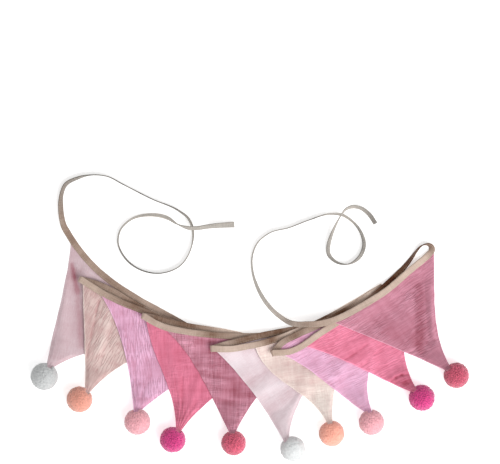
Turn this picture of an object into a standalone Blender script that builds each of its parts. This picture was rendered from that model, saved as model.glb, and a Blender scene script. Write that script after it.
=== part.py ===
"""Fabric bunting laid out as a fan: ten gauze flags on one folded linen binding tape, with a free
tie at each end and a yarn pompom at the tip of every flag.

The tape lies back and forth. It comes from the left tie along flag 1, folds back over itself along
flag 2, and so on to flag 10 and the right tie, so each flag lies on the ones before it. A Pile
holds how high the cloth already laid reaches, and each strand of tape and each flag is settled on
it in turn. Flag and tape share the sections where they meet, so the flag's top edge lies inside
the slot between the tape's two leaves.

Frame: +Z up, the surface that carries the bunting at z = 0, the origin under the middle of the
layout. Tables are in millimetres and everything else is in metres.
"""

import math

import bmesh
import bpy
import numpy as np
from mathutils import Matrix, Vector

MM = 0.001
OBJECT = "fabric_bunting"

# Binding tape, a strip of linen folded in half along its length
TAPE_WIDTH = 8.0 * MM
TIE_THICK = 1.6 * MM  # the folded strip alone
HEADING_THICK = 3.0 * MM  # the strip with a flag between its leaves
SLOT_DEPTH = 5.4 * MM
SLOT_HEIGHT = 1.8 * MM
SEAM_DEPTH = 0.4 * MM  # groove where the closed leaves meet
SEAM_HEIGHT = 0.3 * MM
SLOT_FADE = 9.0 * MM  # length over which the leaves close past a flag
SLOT_SPARE = 0.8 * MM  # open slot past a flag's corner
SECTION_STEP = 13.0 * MM  # longest stretch between sections of the tape
SECTION_TURN = 0.42  # most turn between sections, in radians
FOLD_SECTIONS = 5  # sections around a fold

# Flags, two layers of gauze sewn as one sheet
FLAG_THICK = 1.0 * MM
FLAG_TONGUE = 4.8 * MM  # part of the flag inside the tape
FLAG_COLUMNS = 14
TIP_WIDTH = 7.0 * MM
TIP_CLIMB = 34.0 * MM  # length over which a tip climbs to its pompom
HEADING_BLEND = 14.0 * MM  # length over which a flag comes down from the tape
BOW_SCALE = 6.75  # makes an edge's bow as deep as given at one or two thirds of its length

# Pompoms, thirty locks of yarn around a core
CORE_RADIUS = 9.5 * MM
TIED_LOCK = 13.0 * MM  # reach of the lock that faces the flag's tip
TIE_GAP = 0.5 * MM
LOCK_TAPER = 0.86
LOCK_UNEVEN = 0.05  # how much locks differ in reach, as a share
LOCK_SWAY = 0.7 * MM  # how far they lean sideways
LOCK_PHASES = (2.4, 3.1, 4.7, 5.9)  # radians from one lock to the next, for its reach and x, y, z
POKED_POINT = 0.91059  # flattens the poked icosahedron's triangle pairs, for a radius of 1
EDGE_MIDDLE = 0.85065  # from its middle to the middle of an edge
SINK = 0.90  # height of a pompom's centre, as a share of its radius

# How cloth lies on cloth
LAYER_GAP = 0.5 * MM
DRAPE_RADIUS = 6.0 * MM
FOLD_CLEAR = 2.8 * MM  # least tape between a fold and a flag's corner
FOLD_SPARE = 0.6 * MM  # extra room inside a fold
FOLD_FADE = 12.0 * MM
EDGE_SLOPE = 0.85  # tape steeper than this stands on edge
SLOPE_LIMIT = 0.45  # steepest that flat tape leans on what is below
MIDDLE_SHARE = 0.9  # how much of a bump under its middle lifts the tape
SLOPE_PASSES = 6  # how even the tape's sideways slope is along its line
CELL = 1.5 * MM
FIELD_LOW = (-275 * MM, -185 * MM)
FIELD_SIZE = (550 * MM, 375 * MM)

# The left tie, from its free end to flag 1. lean turns the tape about its own line: 0 is flat with
# the slot to the right of the way it runs, 90 on edge. lift is the lower edge's height.
TIE_COLUMNS = ("x", "y", "lean", "lift")
LEFT_TIE = (
    (-19, 117, 28, 0),
    (-34.5, 116, 40, 2.6),
    (-50, 114.5, 48, 6.6),
    (-64.5, 112.5, 55, 9.8),
    (-76, 112.5, 60, 9.8),
    (-89.5, 117, 90, 7.5),
    (-102, 125, 120, 3.6),
    (-122.5, 129, 117, 0.4),
    (-148.5, 123, 103, 0),
    (-162, 109, 98, 0),
    (-164.5, 96, 97, 0),
    (-154, 73, 99, 0),
    (-133, 59, 95, 0),
    (-111, 56, 91, 0),
    (-86.5, 65.5, 90, 0),
    (-72.5, 89.5, 88, 0),
    (-71, 110, 74, 0),
    (-77, 125, 75, 0),
    (-88.5, 134, 82, 0),
    (-121.5, 148.5, 90, 0),
    (-158, 167, 90, 0),
    (-178, 177, 90, 0),
    (-200, 178.5, 88, 0),
    (-214.5, 175, 68, 0),
    (-229, 167.5, 60, 0),
    (-235.5, 151, 57, 0),
    (-236, 139.5, 42, 0),
    (-235, 127.5, 38, 0),
    (-232, 115, 22, 0),
    (-226.5, 105, 3, 0),
)

# The tape's centre line along each flag, in the way it runs: odd strands to the right, even ones
# back. The lean changes evenly from its first to its last point.
STRAND_COLUMNS = ("x1", "y1", "x2", "y2", "x3", "y3", "x4", "y4", "first_lean", "last_lean")
STRANDS = {
    1: (-207, 77.5, -171, 44, -142, 25, -106, 5, 0, 0),
    2: (-106, -2, -148.5, 20.5, -175, 35.5, -193.5, 43.5, 180, 160),
    3: (-180, 29.5, -137, 10.5, -87, -9, -37.5, -24, 0, 0),
    4: (-30.5, -17.5, -73, -10.5, -106, -3.5, -123, 1.5, 180, 160),
    5: (-111, -9, -73, -17.5, -17, -22.5, 55, -18, 0, 0),
    6: (63, -13, 21, -20.5, -12, -28, -34.5, -34, 180, 160),
    7: (-26.5, -38.5, 7, -33, 75.5, -10, 137, 22.5, 0, 0),
    8: (125.5, 12.5, 84, -9.5, 55, -22.5, 39, -32, 180, 160),
    9: (48, -42, 90.5, -17, 144, 19, 181, 51, 0, 18),
    10: (207, 65.5, 170.5, 34.5, 132, 10.5, 113, 1, 180, 180),
}

# Where the tape folds back after strands 1 to 8
FOLDS = {
    1: (-74.5, -12.5),
    2: (-210, 48),
    3: (8, -26),
    4: (-131.5, 2.5),
    5: (107, -7.5),
    6: (-46, -38),
    7: (168, 42),
    8: (30, -43),
}

# The open turn on edge between strands 9 and 10
TURN = (
    (192, 62, 40, 0),
    (201.5, 74, 60, 0),
    (208.5, 84, 76, 0),
    (213.3, 89.3, 84, 0),
    (218.6, 91.9, 96, 0),
    (222.6, 92, 109, 0),
    (226, 90.2, 128, 0),
    (227.7, 86.9, 148, 0),
    (226.9, 83.1, 165, 0),
    (223.8, 79.6, 174, 0),
    (218, 74.2, 180, 0),
)

TURN_MIDDLE = 4  # the row where strand 9 ends and strand 10 begins

# The right tie, from flag 10 to its free end
RIGHT_TIE = (
    (94.5, -5.5, 196, 0),
    (72.5, -7.5, 214, 0),
    (52, -6, 226, 0),
    (36.5, 3, 234, 0),
    (21, 19, 236, 0),
    (10, 38, 245, 0),
    (4, 57, 258, 0),
    (3, 75, 264, 0),
    (9, 92.5, 266, 0),
    (26.5, 107, 270, 0),
    (48, 112.5, 270, 0),
    (74.5, 122.5, 270, 0),
    (100.5, 130, 262, 0),
    (114.5, 129, 250, 0),
    (128, 121, 254, 0),
    (139.5, 106, 247, 0),
    (143, 92, 239, 0),
    (137, 76, 240, 0),
    (124, 67.5, 266, 0),
    (109, 69.5, 286, 0),
    (98.5, 80.5, 302, 0),
    (98.5, 91, 304, 0),
    (101.5, 102, 295, 1.2),
    (108, 117.5, 282, 7.6),
    (114.5, 129, 275, 9.8),
    (119.5, 135.5, 286, 9.0),
    (128, 139, 296, 6.4),
    (139, 137.3, 298, 2.6),
    (148, 131, 302, 0.6),
    (157.5, 118, 306, 0),
)

# Flags: corners on the tape, tip and pompom in plan, the pompom's radius, and how far the edges
# bow outwards at a third and at two thirds of the way from the corner to the tip
FLAG_COLUMNS_NAMES = (
    "left_x", "left_y", "right_x", "right_y", "tip_x", "tip_y", "pompom_x", "pompom_y",
    "radius", "left_upper", "left_lower", "right_upper", "right_lower",
)  # fmt: skip
FLAGS = {
    1: (-227, 90, -105.8, 0, -249.5, -60, -256, -72.6, 17.3, -2.4, 1, 9.2, -4),
    2: (-212, 43.8, -75.8, -25, -200, -90, -212.1, -101.2, 16.5, 0.6, -1, -1, -7),
    3: (-185.8, 25, -39.5, -28.8, -142, -111.2, -140, -129.1, 16.6, -6.4, -3.8, 6.5, 0.3),
    4: (-133.2, -3.8, 8, -28.8, -87, -137.5, -95.8, -151.4, 16.4, 3.3, -6.7, 11.5, -2.7),
    5: (-102.6, -15.6, 55.5, -22.5, -22, -138.8, -19.9, -155.6, 15.8, -6, -1.3, 4.6, -2.4),
    6: (-47, -43.8, 98, -13.8, 43, -150, 53.9, -162.9, 15.8, -3.5, -2.8, 7.4, -6.4),
    7: (8, -40, 139.2, 18.8, 99.2, -125, 102.4, -143.8, 16.3, 9, -6.9, -1.2, -6.5),
    8: (31.8, -42.5, 161.8, 32.5, 149.2, -112.5, 152, -129.8, 16.2, -5, 1.6, 7.4, -10.7),
    9: (70.5, -35, 185, 47, 203, -87.5, 214.7, -99.2, 16.7, -3.4, 1.1, 2.3, -8.1),
    10: (108, -8.8, 230.5, 81.2, 245.5, -61.2, 257.8, -71.2, 16.2, -0.2, -0.4, -2.1, -8.2),
}

# The main folds of the flags, each a soft ridge along a line
RIDGE_COLUMNS = ("flag", "x0", "y0", "x1", "y1", "height", "half_width")
RIDGES = (
    (1, -233, 70, -234, -30, 2.4, 8),
    (1, -207, 54, -197, -34, 2.4, 8),
    (2, -177, 16, -191, -52, 2.4, 7),
    (3, -157, -15, -147, -84, 1.8, 7),
    (4, -97, -40, -87, -112, 2.2, 7),
    (4, -56, -52, -76, -110, 1.8, 6),
    (5, -43, -55, -27, -115, 1.8, 7),
    (6, 42, -128, 73, -84, 1.8, 6),
    (7, 44, -68, 107, -75, 1.5, 7),
    (8, 107, -71, 153, -34, 1.8, 7),
    (9, 172, -80, 196, -66, 2.6, 5),
    (9, 125, -34, 182, -9, 1.8, 8),
    (10, 226, 41, 233, -36, 2.8, 6),
    (10, 198, 22, 203, -34, 1.8, 7),
)

# Cloth and yarn, as colour name, red, green and blue in linear light
CLOTHS = {
    "dusty_rose": (0.54, 0.24, 0.29),
    "pale_pink": (0.72, 0.53, 0.58),
    "peach": (0.77, 0.60, 0.56),
    "orchid": (0.78, 0.42, 0.60),
    "hot_pink": (0.80, 0.22, 0.34),
    "linen": (0.52, 0.42, 0.32),
    "yarn_white": (0.75, 0.77, 0.78),
    "yarn_peach": (0.83, 0.35, 0.25),
    "yarn_salmon": (0.82, 0.38, 0.40),
    "yarn_magenta": (0.60, 0.05, 0.22),
    "yarn_raspberry": (0.63, 0.09, 0.16),
}
FLAG_CLOTHS = ("pale_pink", "peach", "orchid", "hot_pink", "dusty_rose")
POMPOM_YARNS = ("yarn_white", "yarn_peach", "yarn_salmon", "yarn_magenta", "yarn_raspberry")


class Pile:
    """How high the cloth already laid reaches, on a square grid over the layout."""

    def __init__(self):
        self.low = np.array(FIELD_LOW)
        cells = np.ceil(np.array(FIELD_SIZE) / CELL).astype(int)
        self.top = np.zeros(cells)
        self.refresh()

    def cover(self, points):
        """Raises the grid to these points on the upper side of a piece."""
        cell = np.floor((points[:, :2] - self.low) / CELL).astype(int)
        np.maximum.at(self.top, (cell[:, 0], cell[:, 1]), points[:, 2])
        self.refresh()

    def refresh(self):
        """Works out how low the next piece may lie, and the smooth surface that it tends to."""
        lowest = np.where(self.top > 0, self.top + LAYER_GAP, 0.0)
        self.floor = np.maximum.reduce(shifted(lowest, 1.5 * CELL))
        widened = np.maximum.reduce(shifted(lowest, DRAPE_RADIUS))
        self.drape = np.mean(shifted(widened, DRAPE_RADIUS), axis=0)

    def read(self, grid, xy):
        """The value of a grid at points in plan, between its cells."""
        place = (xy - self.low) / CELL - 0.5
        cell = np.clip(np.floor(place).astype(int), 0, np.array(grid.shape) - 2)
        part = np.clip(place - cell, 0, 1)
        i, j = cell[..., 0], cell[..., 1]
        u, v = part[..., 0], part[..., 1]
        near = grid[i, j] * (1 - u) + grid[i + 1, j] * u
        far = grid[i, j + 1] * (1 - u) + grid[i + 1, j + 1] * u
        return near * (1 - v) + far * v


def shifted(grid, radius):
    """The grid moved by every whole step that is no longer than the radius."""
    reach = int(radius / CELL)
    wide = np.pad(grid, reach)
    rows, columns = grid.shape
    steps = range(-reach, reach + 1)
    return [
        wide[reach + i : reach + i + rows, reach + j : reach + j + columns]
        for i in steps
        for j in steps
        if math.hypot(i, j) * CELL <= radius
    ]


def smoothstep(t):
    t = np.clip(t, 0, 1)
    return t * t * (3 - 2 * t)


def unit(vectors):
    return vectors / np.linalg.norm(vectors, axis=-1, keepdims=True)


class Curve:
    """A smooth curve through the rows of a table, whose first two columns are its place in plan."""

    def __init__(self, rows):
        self.rows = np.array(rows, float)
        chord = np.linalg.norm(np.diff(self.rows[:, :2], axis=0), axis=1)
        self.knots = np.r_[0, np.cumsum(chord)]
        slopes = np.gradient(self.rows, self.knots, axis=0)
        self.slopes = slopes
        fine = np.linspace(0, self.knots[-1], 4 * int(self.knots[-1] / MM))
        plan = self.at_knot(fine)[:, :2]
        self.fine = fine
        self.arc = np.r_[0, np.cumsum(np.linalg.norm(np.diff(plan, axis=0), axis=1))]
        self.plan = plan
        self.length = self.arc[-1]

    def at_knot(self, t):
        k = np.clip(np.searchsorted(self.knots, t, side="right") - 1, 0, len(self.knots) - 2)
        span = (self.knots[k + 1] - self.knots[k])[:, None]
        u = ((t - self.knots[k]) / span[:, 0])[:, None]
        start, end = self.rows[k], self.rows[k + 1]
        leave, arrive = self.slopes[k] * span, self.slopes[k + 1] * span
        return (
            start * (2 * u**3 - 3 * u**2 + 1)
            + leave * (u**3 - 2 * u**2 + u)
            + end * (3 * u**2 - 2 * u**3)
            + arrive * (u**3 - u**2)
        )

    def at(self, s):
        """The table's columns at a distance along the curve."""
        return self.at_knot(np.interp(s, self.arc, self.fine))

    def travel(self, s):
        """The way the curve runs, in plan."""
        ahead = np.clip(s + 0.5 * MM, 0, self.length)
        behind = np.clip(s - 0.5 * MM, 0, self.length)
        return unit(self.at(ahead)[:, :2] - self.at(behind)[:, :2])

    def nearest(self, xy, start=0.0, end=math.inf):
        """The distance along the curve of its point nearest to a place in plan, between two others."""
        inside = (self.arc >= start) & (self.arc <= end)
        away = np.linalg.norm(self.plan - xy, axis=1)
        return self.arc[np.argmin(np.where(inside, away, math.inf))]

    def stations(self, start, end):
        """Distances from start to end, closer together where the curve turns."""
        s = np.linspace(start, end, 400)
        way = self.travel(s)
        turned = np.abs(np.diff(np.unwrap(np.arctan2(way[:, 1], way[:, 0]))))
        leaned = np.abs(np.diff(np.radians(self.at(s)[:, 2])))
        cost = np.maximum(np.diff(s) / SECTION_STEP, (turned + leaned) / SECTION_TURN)
        total = np.r_[0, np.cumsum(cost)]
        count = max(1, math.ceil(total[-1]))
        return np.interp(np.linspace(0, total[-1], count + 1), total, s)


class Strand:
    """A stretch of tape: sections with a centre, two directions, a thickness and a slot."""

    def __init__(self, curve, start, end, corners, pile, folded):
        first, last = sorted(curve.nearest(corner, start, end) for corner in corners)
        first = max(first, start + FOLD_CLEAR)
        last = min(last, end - FOLD_CLEAR)
        heading = np.linspace(first, last, FLAG_COLUMNS + 1)
        before = curve.stations(start, first - SLOT_SPARE)
        after = curve.stations(last + SLOT_SPARE, end)
        s = np.concatenate([before, heading, after])
        self.heading = slice(len(before), len(before) + len(heading))
        spare = FOLD_SPARE * np.exp(-(s - start) / FOLD_FADE) * folded
        past = np.maximum(np.maximum(first - SLOT_SPARE - s, s - last - SLOT_SPARE), 0)
        open_part = np.clip(1 - past / SLOT_FADE, 0, 1)
        self.thick = TIE_THICK + (HEADING_THICK - TIE_THICK) * open_part
        self.slot_depth = SEAM_DEPTH + (SLOT_DEPTH - SEAM_DEPTH) * open_part
        self.slot_height = SEAM_HEIGHT + (SLOT_HEIGHT - SEAM_HEIGHT) * open_part

        rows = curve.at(s)
        plan, lean, lift = rows[:, :2], np.radians(rows[:, 2]), rows[:, 3]
        way = curve.travel(s)
        right = np.c_[way[:, 1], -way[:, 0]]
        height, slope = self.settle(plan, right, lean, lift, pile)
        centre = np.c_[plan, height + spare]
        tilt = lean + np.arctan(slope)
        up = np.array([0.0, 0.0, 1.0])
        flat_right = np.c_[right, np.zeros(len(s))]
        self.centre = centre
        self.way = np.c_[way, np.zeros(len(s))]
        self.across = np.cos(tilt)[:, None] * flat_right + np.sin(tilt)[:, None] * up
        self.normal = unit(np.cross(self.way, self.across))

    def settle(self, plan, right, lean, lift, pile):
        """The height of each section's centre, and its sideways slope, clear of what is below."""
        flat, upright = np.abs(np.cos(lean)), np.abs(np.sin(lean))
        reach = 0.5 * TAPE_WIDTH * flat + 0.5 * self.thick * upright
        right_side = pile.read(pile.drape, plan + right * reach[:, None])
        left_side = pile.read(pile.drape, plan - right * reach[:, None])
        slope = np.clip((right_side - left_side) / (2 * reach), -SLOPE_LIMIT, SLOPE_LIMIT) * flat**4
        for _ in range(SLOPE_PASSES):
            slope = np.convolve(np.pad(slope, 1, mode="edge"), (0.25, 0.5, 0.25), mode="valid")
        half = 0.5 * TAPE_WIDTH * upright + 0.5 * self.thick * flat * np.sqrt(1 + slope**2)
        middle = pile.read(pile.drape, plan)
        carried = np.maximum((right_side + left_side) / 2, middle * MIDDLE_SHARE)
        height = np.maximum(carried, lift) + half
        places = np.linspace(0, 1, 6)[None, :, None]
        sides = np.linspace(-1, 1, 7)[None, None, :]

        def between(values):
            return values[:-1, None, None] * (1 - places) + values[1:, None, None] * places

        offset = between(reach + 1.0 * MM * flat) * sides
        xs = between(plan[:, 0]) + between(right[:, 0]) * offset
        ys = between(plan[:, 1]) + between(right[:, 1]) * offset
        need = pile.read(pile.floor, np.stack([xs, ys], axis=-1))
        for _ in range(20):
            lack = need + between(half) - between(height) - between(slope) * offset
            lack = np.maximum(lack.max(axis=(1, 2)), 0)
            if lack.max() < 0.01 * MM:
                break
            height += np.maximum(np.r_[lack, 0], np.r_[0, lack])
        return height, slope

    def upper_points(self):
        """Points spread over the upper side, for the pile; tape on edge carries nothing."""
        t = np.linspace(0, 1, 12)[:, None, None, None]
        a = np.linspace(-0.5, 0.5, 9)[None, None, :, None]
        side = self.centre[:, None, :] + a[0] * TAPE_WIDTH * self.across[:, None, :]
        face = np.where(self.normal[:, 2:] > 0, self.normal, -self.normal)
        side = side + 0.5 * self.thick[:, None, None] * face[:, None, :]
        lying = np.abs(self.across[:-1, 2]) < EDGE_SLOPE
        return (side[None, :-1] * (1 - t) + side[None, 1:] * t)[:, lying].reshape(-1, 3)

    def section_points(self):
        """The eight corners of every section: the fold side, the lower leaf, the slot, the upper leaf."""
        w, t = np.full(len(self.thick), TAPE_WIDTH / 2), self.thick / 2
        deep, gap = w - self.slot_depth, self.slot_height / 2
        a = np.stack([-w, w, w, deep, deep, w, w, -w], axis=1)
        b = np.stack([-t, -t, -gap, -gap, gap, gap, t, t], axis=1)
        return (
            self.centre[:, None, :]
            + a[:, :, None] * self.across[:, None, :]
            + b[:, :, None] * self.normal[:, None, :]
        )


def fold_between(before, after):
    """Sections around the fold from the end of one strand up to the start of the next."""
    angle = math.pi * np.arange(1, FOLD_SECTIONS + 1) / (FOLD_SECTIONS + 1)
    cos, sin = np.cos(angle)[:, None], np.sin(angle)[:, None]
    low, high = before.centre[-1], after.centre[0]
    middle, arm = (low + high) / 2, (low - high) / 2
    out = unit(before.way[-1] - after.way[0])
    spoke = cos * arm + sin * np.linalg.norm(arm) * out
    fold = Strand.__new__(Strand)
    fold.centre = middle + spoke
    fold.across = unit((1 + cos) / 2 * before.across[-1] + (1 - cos) / 2 * after.across[0])
    facing = math.copysign(1.0, float(before.normal[-1] @ arm))
    radial = facing * unit(spoke)
    along = (radial * fold.across).sum(axis=1, keepdims=True)
    fold.normal = unit(radial - along * fold.across)
    share = angle / math.pi
    for name in ("thick", "slot_depth", "slot_height"):
        first, last = getattr(before, name)[-1], getattr(after, name)[0]
        setattr(fold, name, first + (last - first) * share)
    return fold


def flag_sheet(number, strand, pile):
    """The middle surface of a flag: points and triangles of a lattice that narrows to the tip.

    The lattice has one column less in each row. Its first row lies inside the tape's slot and its
    second at the slot's mouth, on the tape's own sections; the last one is the tip.
    """
    row = dict(zip(FLAG_COLUMNS_NAMES, FLAGS[number]))
    order = slice(None) if number % 2 else slice(None, None, -1)
    centre = strand.centre[strand.heading][order]
    across = strand.across[strand.heading][order]
    tongue = centre + (TAPE_WIDTH / 2 - FLAG_TONGUE) * across
    mouth = centre + TAPE_WIDTH / 2 * across

    pompom = np.array([row["pompom_x"], row["pompom_y"]]) * MM
    tip = np.array([row["tip_x"], row["tip_y"]]) * MM
    toward = unit(pompom - tip)
    tip = pompom - toward * (TIED_LOCK + TIE_GAP)
    tip_side = np.array([toward[1], -toward[0]])  # to the left edge of a flag that points down
    if tip_side @ (mouth[0, :2] - mouth[-1, :2]) < 0:
        tip_side = -tip_side
    ends = (tip + tip_side * TIP_WIDTH / 2, tip - tip_side * TIP_WIDTH / 2)

    def edge(start, end, upper, lower, outward, v):
        """A side edge as a straight line plus two bows, in plan."""
        line = end - start
        normal = unit(np.array([line[1], -line[0]]))
        if normal @ outward < 0:
            normal = -normal
        bow = BOW_SCALE * v * (1 - v) * ((1 - v) * upper + v * lower) * MM
        return start + line * v + normal * bow

    outward = unit(mouth[0, :2] - mouth[-1, :2])
    points, rows = [tongue, mouth], [np.arange(FLAG_COLUMNS + 1)]
    rows.append(rows[0] + FLAG_COLUMNS + 1)
    u_mouth = np.linspace(0, 1, FLAG_COLUMNS + 1)
    straight = mouth[0, :2] + u_mouth[:, None] * (mouth[-1, :2] - mouth[0, :2])
    sag = mouth[:, :2] - straight
    first_height = mouth[:, 2] - pile.read(pile.drape, mouth[:, :2]) - FLAG_THICK / 2
    tip_height = SINK * row["radius"] * MM
    for r in range(1, FLAG_COLUMNS):
        v = r / (FLAG_COLUMNS - 1)
        u = np.linspace(0, 1, FLAG_COLUMNS - r + 1)
        left = edge(mouth[0, :2], ends[0], row["left_upper"], row["left_lower"], outward, v)
        right = edge(mouth[-1, :2], ends[1], row["right_upper"], row["right_lower"], -outward, v)
        plan = left + u[:, None] * (right - left)
        plan += (1 - v) ** 2 * np.stack([np.interp(u, u_mouth, sag[:, i]) for i in (0, 1)], axis=1)
        height = pile.read(pile.drape, plan) + FLAG_THICK / 2 + relief(number, plan)
        top = mouth[0, :2] + u[:, None] * (mouth[-1, :2] - mouth[0, :2])
        from_mouth = np.linalg.norm(plan - top, axis=1)
        blend = np.exp(-((from_mouth / HEADING_BLEND) ** 2))
        height += np.interp(u, u_mouth, first_height) * blend
        climb = smoothstep(1 - np.linalg.norm(plan - tip, axis=1) / TIP_CLIMB)
        if r == FLAG_COLUMNS - 1:
            climb = np.ones(2)
        height += (np.maximum(tip_height - height, 0)) * climb
        rows.append(rows[-1][-1] + 1 + np.arange(len(u)))
        points.append(np.c_[plan, height])
    points = np.concatenate(points)

    triangles = []
    for i in range(FLAG_COLUMNS):
        a, b = rows[0][i], rows[0][i + 1]
        c, d = rows[1][i], rows[1][i + 1]
        triangles += [(a, c, d), (a, d, b)] if number % 2 else [(a, c, b), (c, d, b)]
    for upper, lower in zip(rows[1:-1], rows[2:]):
        triangles += list(zip(upper[:-1], lower, upper[1:]))
        triangles += list(zip(lower[:-1], lower[1:], upper[1:-1]))
    triangles = np.array(triangles)

    held = np.zeros(len(points), bool)
    held[: 2 * (FLAG_COLUMNS + 1)] = True
    held[rows[-1]] = True
    free = triangles[2 * FLAG_COLUMNS :]
    weights = barycentric(6)
    plan = np.einsum("sk,tkc->tsc", weights, points[free][:, :, :2])
    need = pile.read(pile.floor, plan) + FLAG_THICK / 2
    for _ in range(30):
        height = np.einsum("sk,tk->ts", weights, points[free][:, :, 2])
        lack = np.maximum((need - height).max(axis=1), 0)
        lift = np.zeros(len(points))
        np.maximum.at(lift, free.ravel(), np.repeat(lack, 3))
        lift[held] = 0
        if lift.max() < 0.01 * MM:
            break
        points[:, 2] += lift
    return points, triangles


def relief(number, plan):
    """Height of a flag's main folds at places in plan."""
    height = np.zeros(len(plan))
    for values in RIDGES:
        ridge = dict(zip(RIDGE_COLUMNS, values))
        if ridge["flag"] != number:
            continue
        start = np.array([ridge["x0"], ridge["y0"]]) * MM
        line = np.array([ridge["x1"], ridge["y1"]]) * MM - start
        t = np.clip((plan - start) @ line / (line @ line), 0, 1)
        distance = np.linalg.norm(plan - start - t[:, None] * line, axis=1)
        height += ridge["height"] * MM * np.exp(-((distance / (ridge["half_width"] * MM)) ** 2))
    return height


def barycentric(steps):
    """Weights of points spread evenly over a triangle."""
    return np.array([(i, j, steps - i - j) for i in range(steps + 1) for j in range(steps + 1 - i)]) / steps


def mesh_object(name, mesh, material, collection):
    obj = bpy.data.objects.new(name, mesh)
    mesh.materials.append(material)
    collection.objects.link(obj)
    return obj


def loft(name, sections):
    """A closed body through the tape's sections, with flat ends.

    Its faces are split the same way on both sides of each leaf, so a leaf keeps its thickness where
    the tape twists.
    """
    bm = bmesh.new()
    loops = [[bm.verts.new(corner) for corner in section] for section in sections]
    for one, two in zip(loops, loops[1:]):
        for i in range(len(one)):
            j = (i + 1) % len(one)
            if i % 4 < 2:
                bm.faces.new((one[i], one[j], two[j]))
                bm.faces.new((one[i], two[j], two[i]))
            else:
                bm.faces.new((one[i], one[j], two[i]))
                bm.faces.new((one[j], two[j], two[i]))
    bm.faces.new(reversed(loops[0]))
    bm.faces.new(loops[-1])
    bmesh.ops.recalc_face_normals(bm, faces=bm.faces)
    mesh = bpy.data.meshes.new(name)
    bm.to_mesh(mesh)
    bm.free()
    return mesh


def pompom_mesh(name, number):
    """Thirty locks that stand out of the faces of a rhombic triacontahedron, whose roots meet.

    An icosahedron is poked and its new points pulled in until the two triangles on each old edge
    lie in one plane; without the old edges these are the thirty roots. One lock points down and
    one at the flag's tip. The locks that would reach below the surface end level with it.
    """
    row = dict(zip(FLAG_COLUMNS_NAMES, FLAGS[number]))
    radius, height = row["radius"] * MM, SINK * row["radius"] * MM
    bm = bmesh.new()
    bmesh.ops.create_icosphere(bm, subdivisions=1, radius=1.0)
    edges = bm.edges[:]
    poked = bmesh.ops.poke(bm, faces=bm.faces[:])
    for vert in poked["verts"]:
        vert.co = vert.co.normalized() * POKED_POINT
    one, two = (vert.co.copy() for vert in edges[0].verts)
    down, level = (one + two).normalized(), (two - one).normalized()
    bmesh.ops.dissolve_edges(bm, edges=edges)
    to_tip = Vector((row["tip_x"] - row["pompom_x"], row["tip_y"] - row["pompom_y"], 0)).normalized()
    floor = Vector((0, 0, -1))
    source = Matrix((level, down, level.cross(down))).transposed()
    target = Matrix((to_tip, floor, to_tip.cross(floor))).transposed()
    turn = (target @ source.inverted()).to_4x4()
    core = Matrix.Scale(CORE_RADIUS / EDGE_MIDDLE, 4)
    bmesh.ops.transform(bm, matrix=turn @ core, verts=bm.verts)
    bm.normal_update()
    ends = bmesh.ops.extrude_discrete_faces(bm, faces=bm.faces[:])["faces"]
    for i, face in enumerate(ends):
        out = face.calc_center_median().normalized()
        tied = out.dot(to_tip) > 0.99
        reach = radius * (1 + LOCK_UNEVEN * math.sin(LOCK_PHASES[0] * i + number))
        sway = Vector([math.sin(phase * i + k) for k, phase in enumerate(LOCK_PHASES[1:])]) * LOCK_SWAY
        if tied or out.z < -0.99:
            sway = Vector()
        if tied:
            reach = TIED_LOCK
        centre = face.calc_center_median()
        sway -= out * sway.dot(out)
        corners = [out * reach + sway + (v.co - centre) * LOCK_TAPER for v in face.verts]
        short = max(0.0, -height - min(corner.z for corner in corners))
        back = out * (short / -out.z) if short else Vector()
        for vert, corner in zip(face.verts, corners):
            vert.co = corner - back
    place = Vector((row["pompom_x"] * MM, row["pompom_y"] * MM, height))
    bmesh.ops.translate(bm, vec=place, verts=bm.verts)
    bmesh.ops.recalc_face_normals(bm, faces=bm.faces)
    mesh = bpy.data.meshes.new(name)
    bm.to_mesh(mesh)
    bm.free()
    return mesh


def cloth_material(name):
    material = bpy.data.materials.new(name)
    material.use_nodes = True
    shader = material.node_tree.nodes["Principled BSDF"]
    shader.inputs["Base Color"].default_value = (*CLOTHS[name], 1.0)
    shader.inputs["Roughness"].default_value = 0.9
    shader.inputs["Metallic"].default_value = 0.0
    return material


def curves():
    """The tape's centre lines between folds; strands 9 and 10 share one."""
    level = {}
    for number, values in STRANDS.items():
        leans = np.linspace(*values[8:], 4)
        level[number] = [(x, y, a, 0) for x, y, a in zip(values[:8:2], values[1:8:2], leans)]
    runs = {}
    for number in range(1, 9):
        start = list(LEFT_TIE) if number == 1 else [(*FOLDS[number - 1], level[number][0][2], 0)]
        runs[number] = start + level[number] + [(*FOLDS[number], level[number][-1][2], 0)]
    last = [(*FOLDS[8], 0, 0), *level[9], *TURN, *level[10], *RIGHT_TIE]
    scale = np.array([MM, MM, 1, MM])
    found = {number: Curve(np.array(rows, float) * scale) for number, rows in runs.items()}
    found[9] = found[10] = Curve(np.array(last, float) * scale)
    return found


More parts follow.
